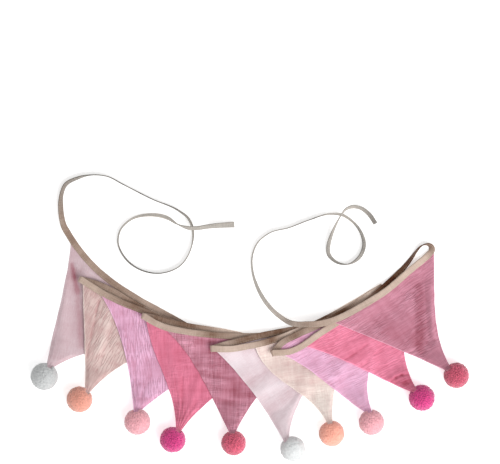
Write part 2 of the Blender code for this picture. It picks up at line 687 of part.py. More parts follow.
def build():
    for obj in list(bpy.data.objects):
        bpy.data.objects.remove(obj)
    collection = bpy.data.collections.new(OBJECT)
    bpy.context.scene.collection.children.link(collection)
    materials = {name: cloth_material(name) for name in CLOTHS}

    pile = Pile()
    lines = curves()
    turn_middle = lines[9].nearest(np.array(TURN[TURN_MIDDLE][:2]) * MM)
    strands = []
    for number in range(1, 11):
        row = dict(zip(FLAG_COLUMNS_NAMES, FLAGS[number]))
        corners = (
            np.array([row["left_x"], row["left_y"]]) * MM,
            np.array([row["right_x"], row["right_y"]]) * MM,
        )
        curve = lines[number]
        start = turn_middle if number == 10 else 0.0
        end = turn_middle if number == 9 else curve.length
        folded = number not in (1, 10)
        strand = Strand(curve, start, end, corners, pile, folded)
        points, triangles = flag_sheet(number, strand, pile)
        mesh = bpy.data.meshes.new(f"flag_{number:02d}")
        mesh.from_pydata(points.tolist(), [], triangles.tolist())
        flag = mesh_object(mesh.name, mesh, materials[FLAG_CLOTHS[(number - 1) % 5]], collection)
        sheet = flag.modifiers.new("gauze", "SOLIDIFY")
        sheet.thickness = FLAG_THICK
        sheet.offset = 0.0

        samples = np.einsum("sk,tkc->tsc", barycentric(10), points[triangles]).reshape(-1, 3)
        pile.cover(samples + np.array([0, 0, FLAG_THICK / 2]))
        pile.cover(strand.upper_points())
        if folded:
            strands.append(fold_between(strands[-1], strand))
            pile.cover(strands[-1].centre + np.array([0, 0, TIE_THICK / 2]))
        strands.append(strand)

    sections = []
    for strand in strands:
        corners = strand.section_points()
        sections += list(corners[1:] if strand is strands[-1] else corners)
    tape = loft("binding_tape", sections)
    mesh_object("binding_tape", tape, materials["linen"], collection)

    for number in range(1, 11):
        mesh = pompom_mesh(f"pompom_{number:02d}", number)
        mesh_object(mesh.name, mesh, materials[POMPOM_YARNS[(number - 1) % 5]], collection)


build()
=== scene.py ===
"""Fabric bunting laid out as a fan: the finished cloth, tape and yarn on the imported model.

The tape lies back and forth and each flag lies on the ones before it. As in the solids, a Pile
holds how high the cloth already laid reaches, and each strand of tape and each flag is settled on
it in turn, here on fine grids. Lengths are in metres and tables in millimetres.
"""

import functools
import math
from collections import namedtuple

import bpy
import numpy as np
from bpy.props import FloatProperty, FloatVectorProperty, IntProperty, PointerProperty
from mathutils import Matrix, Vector


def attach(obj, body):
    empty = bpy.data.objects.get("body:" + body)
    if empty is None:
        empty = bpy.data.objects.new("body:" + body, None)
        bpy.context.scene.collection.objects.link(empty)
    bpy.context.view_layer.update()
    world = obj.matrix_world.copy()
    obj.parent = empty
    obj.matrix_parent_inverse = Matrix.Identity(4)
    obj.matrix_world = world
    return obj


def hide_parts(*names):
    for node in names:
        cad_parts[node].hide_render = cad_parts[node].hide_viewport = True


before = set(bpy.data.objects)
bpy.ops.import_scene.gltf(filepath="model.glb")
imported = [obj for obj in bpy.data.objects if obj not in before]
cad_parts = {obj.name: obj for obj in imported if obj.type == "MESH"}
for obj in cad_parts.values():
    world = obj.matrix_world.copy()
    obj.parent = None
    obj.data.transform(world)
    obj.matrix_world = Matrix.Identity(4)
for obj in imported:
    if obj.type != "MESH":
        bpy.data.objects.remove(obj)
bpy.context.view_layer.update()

bl_info = {
    "name": "Fabric Bunting",
    "version": (1, 0, 0),
    "blender": (4, 5, 0),
    "location": "View3D > Sidebar > Bunting",
    "description": "Gauze flags on a folded linen tape, with ties and yarn pompoms",
    "category": "Object",
}

MM = 0.001


def table(columns, rows):
    """The rows of a table with named columns, by number where they are numbered."""
    make = namedtuple("Row", columns)
    if isinstance(rows, dict):
        return {number: make(*values) for number, values in rows.items()}
    return [make(*values) for values in rows]


# Binding tape, a strip of linen folded in half along its length
TAPE_WIDTH = 8.0 * MM
TIE_THICK = 1.6 * MM
CLOSED = (TIE_THICK, 0.4 * MM, 0.2 * MM)  # thickness, slot depth and slot height of a tie
OPEN = (3.0 * MM, 5.4 * MM, 1.8 * MM)  # and of the heading, with a flag between its leaves
SLOT_FADE = 9.0 * MM
SLOT_SPARE = 0.8 * MM
# The tape along the flags is pinker than in the ties, with painted light reflected from the pink
# flags
TIE_FADE = 110.0 * MM  # over which the tape takes the ties' colour
PRESSED = 0.85  # how much of the room that the solid keeps the cloth itself fills
TAPE_WANDER = ((0.22 * MM, 17 * MM, 3), (0.12 * MM, 6 * MM, 7))  # sideways, then in width
STATION_STEP = 13.0 * MM  # longest stretch between the places where the tape is settled
STATION_TURN = 0.42  # most turn between them, in radians
HEADING_STATIONS = 15  # such places along each flag
HEIGHT_EASE = 5.0 * MM  # half the stretch over which heights between them are averaged
SLOPE_EASE = 8.0 * MM  # the same, for sideways slopes
STEEPEST = 0.45  # largest sideways slope
TAPE_STEP = 1.7 * MM  # longest stretch between the tape's sections
TAPE_TURN = 0.12  # most turn between them
FOLD_SECTIONS = 18
STITCH_IN = 1.4 * MM  # from the open edge to the sewn line
HEADING_TINT = (0.90, 1.02, 1.09)  # how strongly light and shade change red, green and blue
GAUZE_TINT = (0.68, 1.05, 1.0)  # the same, for the flags

# Flags
COLUMNS = 130
ROWS = 92
EDGE_INSETS = (0, 0.12, 0.4, 0.85, 1.4, 2.1)  # millimetres from the side edge
FLAG_THICK = 1.0 * MM  # room that a flag takes in the pile
CLOTH_THICK = 0.75 * MM  # two layers of gauze
HEM_THICK = 0.4 * MM  # more at the sewn edge
HEM_IN = 1.3 * MM
HEM_REACH = 0.7 * MM
EDGE_ROUND = 0.45 * MM  # over which the two layers round off at a side edge
FLAG_TONGUE = 4.8 * MM  # how far a flag reaches into the tape
TONGUE_END = 0.8 * MM  # where its last row inside the tape lies
TONGUE_ROWS = 4
TIP_WIDTH = 6.0 * MM
TIP_CLIMB = 42.0 * MM
TIP_REACH = 11.5 * MM  # from the pompom's middle to the end of the cloth
TIP_HOLD = 15.5 * MM  # where the cloth reaches the height of the pompom's middle
TIP_LAP = 4.5 * MM  # how much further it climbs on the yarn
TIP_NOTCH = 12.2 * MM  # from the pompom's middle to the yarn under the cloth's end
HEADING_BLEND = 14.0 * MM
FREE_FROM = 3.0 * MM  # from the tape to where the cloth lies freely
CALM_EDGE = 5.0 * MM  # crinkles are lower this near to the side edges
CALM_SHARE = 0.35  # and this share of their height is left at the very edge
CRINKLE_SINK = 0.35 * MM  # how far they may reach into the cloth below
EDGE_WAVER = 0.35  # millimetres that the side edges wander
PLEAT_WANDER = 0.15  # how far pleats wander, as a share of one
PLEAT_MOST = 0.04  # tallest pleat, as a share of the flag's width there
DEEPEST_FOLD = 3.0  # where the shading of troughs ends
HIGHEST_FOLD = 1.5  # and where that of ridges does

# Pompoms
SINK = 0.90  # height of a pompom's middle, as a share of its radius
YARN_FLOOR = 0.6 * MM  # lowest that a yarn's end reaches
YARN_RINGS = (0.72, 0.93, 1.0)  # where a yarn's three rings lie, as shares of its reach
YARN_FLARE = (0.95, 1.0, 0.82)  # how wide they are, as shares of its width
YARN_WIDTHS = (0.85, 0.3)  # the thinnest yarn's share of that width, and how much others add
YARN_REACH = 0.965  # from the middle to a yarn's end, as a share of the radius
YARN_UNEVEN = 0.06  # how much the yarns' reaches differ
YARN_BEND = 0.9 * MM
YARN_SCATTER = 0.07  # how far the yarns stray from an even spread
YARN_SPLAY = 0.35  # how far yarns on the floor move out, as a share of how far they are pushed up
# Yarns that lie under the flag's tip: their least run toward it, most run aside and least run up
UNDER_CLOTH = (0.35, 0.26, -0.5)
CORE_SHARE = 0.88  # radius of the dense middle, as a share of the pompom's

# How cloth lies on cloth
LAYER_GAP = 0.5 * MM
DRAPE_RADIUS = 6.0 * MM
FOLD_CLEAR = 2.8 * MM
FOLD_SPARE = 0.6 * MM
FOLD_FADE = 12.0 * MM
EDGE_SLOPE = 0.85
EDGE_DROP = 6.0 * MM  # how far in from its side edges a flag sinks onto the cloth below
EDGE_SINK = 0.75
SLOPE_PASSES = 6
SETTLE_PASSES = 20
SETTLE_CLOSE = 0.01 * MM  # as near to clear as the settling has to come
SIDE_SPARE = 1.0 * MM  # how far past its own sides flat tape is kept clear
CELL = 1.5 * MM
FIELD_LOW = (-275 * MM, -185 * MM)
FIELD_SIZE = (550 * MM, 375 * MM)

# The left tie, from its free end to flag 1. lean turns the tape about its own line: 0 is flat with
# the slot to the right of the way it runs, 90 on edge. lift is the lower edge's height.
TIE_COLUMNS = "x y lean lift"
LEFT_TIE = table(TIE_COLUMNS, (
    (-19, 117, 28, 0),
    (-34.5, 116, 40, 2.6),
    (-50, 114.5, 48, 6.6),
    (-64.5, 112.5, 55, 9.8),
    (-76, 112.5, 60, 9.8),
    (-89.5, 117, 90, 7.5),
    (-102, 125, 120, 3.6),
    (-122.5, 129, 117, 0.4),
    (-148.5, 123, 103, 0),
    (-162, 109, 98, 0),
    (-164.5, 96, 97, 0),
    (-154, 73, 99, 0),
    (-133, 59, 95, 0),
    (-111, 56, 91, 0),
    (-86.5, 65.5, 90, 0),
    (-72.5, 89.5, 88, 0),
    (-71, 110, 74, 0),
    (-77, 125, 75, 0),
    (-88.5, 134, 82, 0),
    (-121.5, 148.5, 90, 0),
    (-158, 167, 90, 0),
    (-178, 177, 90, 0),
    (-200, 178.5, 88, 0),
    (-214.5, 175, 68, 0),
    (-229, 167.5, 60, 0),
    (-235.5, 151, 57, 0),
    (-236, 139.5, 42, 0),
    (-235, 127.5, 38, 0),
    (-232, 115, 22, 0),
    (-226.5, 105, 3, 0),
))

# The tape's centre line along each flag, in the way it runs: odd strands to the right, even ones
# back. The lean changes evenly from its first to its last point.
STRANDS = table("x1 y1 x2 y2 x3 y3 x4 y4 first_lean last_lean", {
    1: (-207, 77.5, -171, 44, -142, 25, -106, 5, 0, 0),
    2: (-106, -2, -148.5, 20.5, -175, 35.5, -193.5, 43.5, 180, 160),
    3: (-180, 29.5, -137, 10.5, -87, -9, -37.5, -24, 0, 0),
    4: (-30.5, -17.5, -73, -10.5, -106, -3.5, -123, 1.5, 180, 160),
    5: (-111, -9, -73, -17.5, -17, -22.5, 55, -18, 0, 0),
    6: (63, -13, 21, -20.5, -12, -28, -34.5, -34, 180, 160),
    7: (-26.5, -38.5, 7, -33, 75.5, -10, 137, 22.5, 0, 0),
    8: (125.5, 12.5, 84, -9.5, 55, -22.5, 39, -32, 180, 160),
    9: (48, -42, 90.5, -17, 144, 19, 181, 51, 0, 18),
    10: (207, 65.5, 170.5, 34.5, 132, 10.5, 113, 1, 180, 180),
})

# Where the tape folds back after strands 1 to 8
FOLDS = {
    1: (-74.5, -12.5),
    2: (-210, 48),
    3: (8, -26),
    4: (-131.5, 2.5),
    5: (107, -7.5),
    6: (-46, -38),
    7: (164.3, 38.9),
    8: (30, -43),
}

# The open turn on edge between strands 9 and 10
TURN = table(TIE_COLUMNS, (
    (192, 62, 40, 0),
    (201.5, 74, 60, 0),
    (208.5, 84, 76, 0),
    (213.3, 89.3, 84, 0),
    (218.6, 91.9, 96, 0),
    (222.6, 92, 109, 0),
    (226, 90.2, 128, 0),
    (227.7, 86.9, 148, 0),
    (226.9, 83.1, 165, 0),
    (223.8, 79.6, 174, 0),
    (218, 74.2, 180, 0),
))
TURN_MIDDLE = 4  # the row where strand 9 ends and strand 10 begins

# The right tie, from flag 10 to its free end
RIGHT_TIE = table(TIE_COLUMNS, (
    (94.5, -5.5, 196, 0),
    (72.5, -7.5, 214, 0),
    (52, -6, 226, 0),
    (36.5, 3, 234, 0),
    (21, 19, 236, 0),
    (10, 38, 245, 0),
    (4, 57, 258, 0),
    (3, 75, 264, 0),
    (9, 92.5, 266, 0),
    (26.5, 107, 270, 0),
    (48, 112.5, 270, 0),
    (74.5, 122.5, 270, 0),
    (100.5, 130, 262, 0),
    (114.5, 129, 250, 0),
    (128, 121, 254, 0),
    (139.5, 106, 247, 0),
    (143, 92, 239, 0),
    (137, 76, 240, 0),
    (124, 67.5, 266, 0),
    (109, 69.5, 286, 0),
    (98.5, 80.5, 302, 0),
    (98.5, 91, 304, 0),
    (101.5, 102, 295, 1.2),
    (108, 117.5, 282, 7.6),
    (114.5, 129, 275, 9.8),
    (119.5, 135.5, 286, 9.0),
    (128, 139, 296, 6.4),
    (139, 137.3, 298, 2.6),
    (148, 131, 302, 0.6),
    (157.5, 118, 306, 0),
))

# Flags: corners on the tape, tip and pompom in plan, the pompom's radius, and how far the edges
# bow outwards at a third and at two thirds of the way from the corner to the tip
FLAG_COLUMNS = """
    left_x left_y right_x right_y tip_x tip_y pompom_x pompom_y
    radius left_upper left_lower right_upper right_lower
"""
FLAGS = table(FLAG_COLUMNS, {
    1: (-227, 90, -105.8, 0, -249.5, -60, -256, -72.6, 17.3, -2.4, 1, 9.2, -4),
    2: (-212, 43.8, -75.8, -25, -200, -90, -212.1, -101.2, 16.5, 0.6, -1, -1, -7),
    3: (-185.8, 25, -39.5, -28.8, -142, -111.2, -140, -129.1, 16.6, -6.4, -3.8, 6.5, 0.3),
    4: (-133.2, -3.8, 8, -28.8, -87, -137.5, -95.8, -151.4, 16.4, 3.3, -6.7, 11.5, -2.7),
    5: (-102.6, -15.6, 55.5, -22.5, -22, -138.8, -19.9, -155.6, 15.8, -6, -1.3, 4.6, -2.4),
    6: (-47, -43.8, 98, -13.8, 43, -150, 53.9, -162.9, 15.8, -3.5, -2.8, 7.4, -6.4),
    7: (8, -40, 139.2, 18.8, 99.2, -125, 102.4, -143.8, 16.3, 9, -6.9, -1.2, -6.5),
    8: (31.8, -42.5, 161.8, 32.5, 149.2, -112.5, 152, -129.8, 16.2, -5, 1.6, 7.4, -10.7),
    9: (70.5, -35, 185, 47, 203, -87.5, 214.7, -99.2, 16.7, -3.4, 1.1, 2.3, -8.1),
    10: (108, -8.8, 230.5, 81.2, 245.5, -61.2, 257.8, -71.2, 16.2, -0.2, -0.4, -2.1, -8.2),
})

# The main folds of the flags, each a soft ridge along a line
LINE_COLUMNS = "flag x0 y0 x1 y1 height half_width"
RIDGES = table(LINE_COLUMNS, (
    (1, -233, 70, -234, -30, 2.4, 8),
    (1, -207, 54, -197, -34, 2.4, 8),
    (2, -177, 16, -191, -52, 2.4, 7),
    (3, -157, -15, -147, -84, 1.8, 7),
    (4, -97, -40, -87, -112, 2.2, 7),
    (4, -56, -52, -76, -110, 1.8, 6),
    (5, -43, -55, -27, -115, 1.8, 7),
    (6, 42, -128, 73, -84, 1.8, 6),
    (7, 44, -68, 107, -75, 1.5, 7),
    (8, 107, -71, 153, -34, 1.8, 7),
    (9, 172, -80, 196, -66, 2.6, 5),
    (9, 125, -34, 182, -9, 1.8, 8),
    (10, 226, 41, 233, -36, 2.8, 6),
    (10, 198, 22, 203, -34, 1.8, 7),
))

# Sharper creases: troughs are below zero
CREASES = table(LINE_COLUMNS, (
    (1, -222, 66, -215, 33, -2.6, 3.2),
    (1, -215, 33, -211, -34, -1.3, 3.6),
    (1, -217, 66, -196, 46, 0.7, 2.2),
    (1, -212, 60, -192, 42, -0.8, 2.0),
    (1, -206, 63, -188, 48, 0.6, 1.8),
    (1, -207, 20, -204, -32, -0.7, 4.5),
    (2, -188, 22, -203, -46, -1.0, 1.8),
    (2, -171, 10, -188, -40, 0.5, 2.2),
    (2, -197, 24, -207, -12, 0.5, 2.4),
    (2, -164, 2, -192, -66, -0.5, 3.0),
    (3, -163, 6, -156, -52, 0.5, 2.2),
    (3, -149, -30, -141, -96, -0.6, 2.0),
    (3, -124, -72, -136, -100, -0.8, 2.6),
    (4, -113, -20, -97, -92, 0.5, 2.6),
    (4, -93, -70, -88, -122, -0.8, 1.8),
    (4, -84, -74, -85, -124, -0.8, 1.8),
    (5, -20, -86, 0, -94, -1.0, 6.0),
    (5, -34, -104, -8, -106, -0.8, 3.6),
    (5, -72, -48, -20, -62, -0.7, 5.0),
    (5, -62, -68, -34, -74, -0.6, 4.0),
    (6, -6, -86, 18, -69, -1.0, 6.0),
    (6, 8, -93, 40, -82, 1.0, 6.0),
    (6, 20, -118, 50, -96, -1.0, 7.5),
    (6, 3, -50, 22, -76, 0.6, 5.0),
    (7, 46, -56, 98, -62, -0.6, 4.0),
    (7, 54, -84, 104, -90, 0.6, 4.0),
    (7, 78, -82, 98, -101, -0.6, 5.0),
    (8, 84, -30, 122, -14, 0.6, 2.4),
    (8, 96, -56, 150, -28, -0.7, 2.4),
    (8, 84, -74, 103, -84, -1.6, 2.0),
    (9, 119, -53, 133, -44, -2.2, 1.8),
    (9, 137, -62, 148, -55, -1.7, 1.8),
    (9, 138, -40, 146, -34, -1.2, 1.6),
    (9, 156, -46, 166, -38, -0.9, 1.8),
    (9, 177, -79, 183, -74, -1.8, 1.8),
    (9, 183, -74, 190, -71, -1.8, 1.8),
    (9, 190, -71, 199, -71, -1.8, 1.8),
    (9, 182, -86, 191, -78, 0.9, 2.2),
    (9, 184, -81, 203, -81, -2.2, 5.0),
    (9, 160, -46, 192, -30, -0.6, 2.4),
    (10, 212, 38, 213, -40, -3.0, 6.0),
    (10, 226, 16, 229, -22, 1.4, 3.0),
    (10, 158, -2, 192, -30, -0.9, 8.0),
    (10, 160, -18, 172, -20, -0.8, 2.4),
    (10, 150, 12, 196, 40, 0.5, 2.4),
))

# Each flag's cloth: the way its fine crinkles run, how wide, long and high they are, and the share
# that cross them; the pleats that gather it into its pompom, with their reach and height; how clear
# its fine lines are, and the share that cross them; how much lighter it is than its colour, partly
# a change of its colour and partly painted shade, deepest on flags 1 to 5, furthest from the light;
# how much thick and thin yarn shows; how much lighter its left and right hems are, a painted
# highlight where they catch the light; and how much lighter its pompom is than the yarn, partly a
# change of colour and partly painted light, as the light falls on each pompom
CLOTH_COLUMNS = """
    angle width length height cross pleats pleat_reach pleat_height
    clear line_cross tone slubby left_hem right_hem pompom_tone
"""
CLOTHS = table(CLOTH_COLUMNS, {
    1: (80, 7.0, 40, 0.1, 0.3, 3, 12, 0.2, 0.35, 0.3, -0.2, 0.12, 0, 0, -0.3),
    2: (60, 2.4, 28, 0.11, 0.1, 3, 16, 0.25, 0.85, 0.05, -0.27, 0.2, 0.32, 0.1, -0.11),
    3: (95, 2.8, 20, 0.28, 0.15, 4, 20, 0.25, 1.4, 0.15, -0.13, 0.35, 0.42, 0, -0.06),
    4: (92, 2.6, 34, 0.2, 0.35, 5, 38, 0.6, 1.05, 0.5, -0.18, 0.35, 0.05, 0, -0.08),
    5: (89, 2.3, 30, 0.22, 0.8, 4, 16, 0.35, 1.6, 0.5, -0.16, 1.0, 0, 0, -0.05),
    6: (35, 8.0, 40, 0.1, 0.3, 3, 16, 0.25, 0.3, 0.3, -0.02, 0.1, 0.08, 0, -0.12),
    7: (8, 4.2, 24, 0.16, 0.3, 3, 18, 0.2, 0.6, 0.45, -0.07, 0.35, 0.16, 0.1, 0.08),
    8: (27, 3.2, 18, 0.3, 0.1, 4, 20, 0.2, 0.75, 0.1, -0.02, 0.25, 0.26, 0, -0.06),
    9: (27, 3.4, 22, 0.32, 0.1, 4, 22, 0.3, 1.0, 0.1, -0.03, 0.35, 0.48, 0, -0.09),
    10: (33, 3.0, 26, 0.3, 0.15, 5, 24, 0.3, 1.15, 0.1, -0.09, 0.35, 0.62, 0.2, -0.13),
})

# Each yarn's darkest painted shade between its ends, how much its ends differ, its sheen, how wide
# its ends spread and how evenly they are brushed into one round surface
YARNS = table("pit variety sheen spread brushed", {
    "pompom_white": (0.96, 0.04, 0.8, 1.5, 0.55),
    "pompom_peach": (0.90, 0.10, 1.0, 1.3, 0.4),
    "pompom_salmon": (0.90, 0.10, 1.0, 1.3, 0.45),
    "pompom_magenta": (0.66, 0.17, 1.0, 1.05, 0.3),
    "pompom_raspberry": (0.62, 0.18, 1.0, 1.0, 0.3),
})

# The stage, in metres: what the camera looks straight down at, the floor and the key light
CAMERA_OVER = (0.0005, 0.1075)
FLOOR_REACH = 8.0
KEY_PLACE = (1.4, -1.5, 2.2)
KEY_TARGET = (0.05, 0, 0)
KEY_SIZE = 2.4
WHITE = (1.0, 1.0, 1.0, 1.0)

# Where the tape catches the light or lies in shade, by strand: pairs of a share of its length and
# how much lighter or darker it is there
TAPE_TONES = {
    1: (
        (0, -0.25), (0.09, -0.15), (0.12, 0.3), (0.17, 0.15), (0.25, -0.6), (0.30, -0.6),
        (0.36, -0.3), (0.42, -0.05), (0.46, -0.5), (0.58, -0.5), (0.75, -0.4), (0.79, -0.3),
        (0.87, -0.45), (0.92, -0.15), (1, -0.45),
    ),
    2: ((0, -0.45), (0.22, -0.8), (0.33, 0), (0.44, -0.65), (0.65, -0.3), (0.9, -0.4), (1, -0.2)),
    3: ((0, 0), (0.2, -0.25), (0.33, -0.6), (0.55, -0.45), (0.67, 0), (0.78, -0.4), (1, -0.55)),
    4: ((0, -0.55), (0.11, 0.2), (0.22, 0.5), (0.33, 0.05), (0.55, -0.6), (0.9, -0.6), (1, -0.15)),
    5: ((0, -0.1), (0.25, -0.1), (0.36, -0.6), (0.56, -0.05), (0.67, -0.4), (0.78, 0.2), (1, -0.5)),
    6: ((0, -0.5), (0.33, -0.45), (0.44, -0.75), (0.78, -0.6), (0.9, -0.2), (1, -0.15)),
    7: (
        (0, -0.05), (0.11, 0.1), (0.22, 0), (0.33, -0.75), (0.44, 0.5), (0.65, -0.75),
        (0.78, 0.45), (0.9, 0.6), (1, 0.1),
    ),
    8: (
        (0, 0.1), (0.11, 0.6), (0.33, -0.7), (0.44, -0.65), (0.67, -0.2), (0.78, -0.65),
        (0.9, -0.2), (1, -0.3),
    ),
    9: ((0, -0.15), (0.33, 0.1), (0.44, 0.05), (0.65, -0.8), (1, -0.85)),
    10: (
        (0, -0.8), (0.02, -0.25), (0.04, 0.1), (0.25, 0), (0.29, -0.4), (0.37, -0.05),
        (0.5, -0.05), (0.62, -0.4), (0.665, 0.3), (0.71, -0.3), (0.75, -0.5), (0.83, -0.25),
        (0.87, -0.35), (0.92, 0), (1, -0.4),
    ),
}

# Painted light and shade on the flags, in soft round patches: where a flag is lighter or darker
# than the rest of it
PAINTED_LIGHT_PATCHES = table("flag x y reach tone", (
    (1, -221, 54, 9, -0.12),
    (2, -203, 10, 14, -0.05),
    (4, -88, -120, 16, -0.08),
    (6, -18, -52, 15, 0.24),
    (5, -43, -66, 9, -0.12),
    (5, -26, -108, 9, -0.12),
    (5, -21, -92, 9, -0.08),
    (5, -64, -42, 15, 0.02),
    (6, 42, -138, 14, 0.12),
    (6, 36, -108, 16, 0.08),
    (7, 94, -108, 20, 0.36),
    (7, 24, -52, 15, 0.10),
    (8, 60, -19, 11, -0.35),
    (8, 134, -90, 17, 0.16),
    (8, 146, -106, 9, 0.12),
    (9, 100, -30, 22, -0.20),
    (9, 196, -79, 8, -0.26),
    (9, 134, -46, 7, -0.10),
    (9, 160, -40, 8, -0.08),
    (10, 202, 48, 16, -0.08),
    (10, 212, -22, 14, -0.16),
    (10, 176, -14, 16, -0.05),
))

FLAG_CLOTHS = ("pale_pink", "peach", "orchid", "hot_pink", "dusty_rose")

GOLDEN_ANGLE = math.pi * (3 - math.sqrt(5))


def smoothstep(t):
    t = np.clip(t, 0, 1)
    return t * t * (3 - 2 * t)


def unit(vectors):
    return vectors / np.maximum(np.linalg.norm(vectors, axis=-1, keepdims=True), 1e-12)


def in_plan(x, y):
    return np.array([x, y]) * MM


def bell(distance, reach):
    """A bell curve: the exponential of minus the square of the distance over the reach."""
    return np.exp(-((distance / reach) ** 2))


def hashed(i, j, seed):
    """A fixed random value from 0 to 1 for two whole numbers: the fraction of a large sine."""
    value = np.sin(i * 127.1 + j * 311.7 + seed * 74.7) * 43758.5453
    return value - np.floor(value)


def blended(corners, u, v):
    """A value inside a cell of a grid, from its four corners."""
    first, right, above, across = corners
    return (first * (1 - u) + right * u) * (1 - v) + (above * (1 - u) + across * u) * v


def noise(x, y, seed):
    """Smooth noise from -1 to 1: hashed values on whole numbers, blended by cubic steps between."""
    i, j = np.floor(x), np.floor(y)
    corners = (hashed(i + right, j + up, seed) for up in (0, 1) for right in (0, 1))
    return 2 * blended(corners, smoothstep(x - i), smoothstep(y - j)) - 1


def eased(at, places, values, reach):
    """Values between places along a line, as the mean over a stretch of twice the reach."""
    offsets = np.linspace(-reach, reach, 9)
    return np.interp(at[:, None] + offsets, places, values).mean(axis=1)


class Pile:
    """How high the cloth already laid reaches, on a square grid over the layout."""

    def __init__(self):
        self.low = np.array(FIELD_LOW)
        cells = np.ceil(np.array(FIELD_SIZE) / CELL).astype(int)
        self.top = np.zeros(cells)
        self.refresh()

    def cover(self, points):
        """Raises the grid to these points on the upper side of a piece."""
        points = points.reshape(-1, 3)
        cell = np.floor((points[:, :2] - self.low) / CELL).astype(int)
        np.maximum.at(self.top, (cell[:, 0], cell[:, 1]), points[:, 2])
        self.refresh()

    def refresh(self):
        """Works out how low the next piece may lie, and the smooth surface that it tends to."""
        lowest = np.where(self.top > 0, self.top + LAYER_GAP, 0.0)
        self.floor = np.maximum.reduce(shifted(lowest, 1.5 * CELL))
        grown = np.maximum.reduce(shifted(lowest, DRAPE_RADIUS))
        self.drape = np.mean(shifted(grown, DRAPE_RADIUS), axis=0)

    def read(self, grid, xy):
        """The value of a grid at points in plan, between its cells."""
        place = (xy - self.low) / CELL - 0.5
        cell = np.clip(np.floor(place).astype(int), 0, np.array(grid.shape) - 2)
        part = np.clip(place - cell, 0, 1)
        i, j = cell[..., 0], cell[..., 1]
        corners = (grid[i + right, j + up] for up in (0, 1) for right in (0, 1))
        return blended(corners, part[..., 0], part[..., 1])


def shifted(grid, radius):
    """The grid moved by every whole step that is no longer than the radius."""
    reach = int(radius / CELL)
    wide = np.pad(grid, reach)
    rows, columns = grid.shape
    steps = range(-reach, reach + 1)
    return [
        wide[reach + i : reach + i + rows, reach + j : reach + j + columns]
        for i in steps
        for j in steps
        if math.hypot(i, j) * CELL <= radius
    ]


class Curve:
    """A smooth curve through the rows of a table, whose first two columns are its place in plan.

    Between two rows each column is the cubic with their values and slopes at its ends.
    """

    def __init__(self, rows):
        self.rows = np.array(rows, float)
        chord = np.linalg.norm(np.diff(self.rows[:, :2], axis=0), axis=1)
        self.knots = np.r_[0, np.cumsum(chord)]
        self.slopes = np.gradient(self.rows, self.knots, axis=0)
        self.fine = np.linspace(0, self.knots[-1], 4 * int(self.knots[-1] / MM))
        self.plan = self.at_knot(self.fine)[:, :2]
        self.arc = np.r_[0, np.cumsum(np.linalg.norm(np.diff(self.plan, axis=0), axis=1))]
        self.length = self.arc[-1]

    def at_knot(self, t):
        k = np.clip(np.searchsorted(self.knots, t, side="right") - 1, 0, len(self.knots) - 2)
        span = (self.knots[k + 1] - self.knots[k])[:, None]
        u = ((t - self.knots[k]) / span[:, 0])[:, None]
        start, end = self.rows[k], self.rows[k + 1]
        leave, arrive = self.slopes[k] * span, self.slopes[k + 1] * span
        return (
            start * (2 * u**3 - 3 * u**2 + 1)
            + leave * (u**3 - 2 * u**2 + u)
            + end * (3 * u**2 - 2 * u**3)
            + arrive * (u**3 - u**2)
        )

    def at(self, s):
        """The table's columns at a distance along the curve."""
        return self.at_knot(np.interp(s, self.arc, self.fine))

    def travel(self, s):
        """The way the curve runs, in plan."""
        ahead = np.clip(s + 0.5 * MM, 0, self.length)
        behind = np.clip(s - 0.5 * MM, 0, self.length)
        return unit(self.at(ahead)[:, :2] - self.at(behind)[:, :2])

    def nearest(self, xy, start=0.0, end=math.inf):
        """How far along the curve its point nearest to a place in plan lies, between two others."""
        inside = (self.arc >= start) & (self.arc <= end)
        away = np.linalg.norm(self.plan - xy, axis=1)
        return self.arc[np.argmin(np.where(inside, away, math.inf))]

    def stations(self, start, end, step, turn):
        """Distances from start to end, closer together where the curve turns."""
        s = np.linspace(start, end, 400)
        way = self.travel(s)
        turned = np.abs(np.diff(np.unwrap(np.arctan2(way[:, 1], way[:, 0]))))
        leaned = np.abs(np.diff(np.radians(self.at(s)[:, 2])))
        cost = np.maximum(np.diff(s) / step, (turned + leaned) / turn)
        total = np.r_[0, np.cumsum(cost)]
        count = max(1, math.ceil(total[-1]))
        return np.interp(np.linspace(0, total[-1], count + 1), total, s)


SECTION_COLUMNS = "centre way across normal thick slot_depth slot_height tone tie"


class Sections(namedtuple("Sections", SECTION_COLUMNS)):
    """Cross sections of the tape: a row each of centre, three directions and five measures."""

    def upper_points(self):
        """Points over the upper side, for the pile; tape on edge carries nothing."""
        sides = np.linspace(-0.5, 0.5, 9)[:, None, None] * TAPE_WIDTH * self.across
        face = np.where(self.normal[:, 2:] > 0, self.normal, -self.normal)
        points = self.centre + sides + 0.5 * self.thick[:, None] * face
        return points[:, np.abs(self.across[:, 2]) < EDGE_SLOPE]


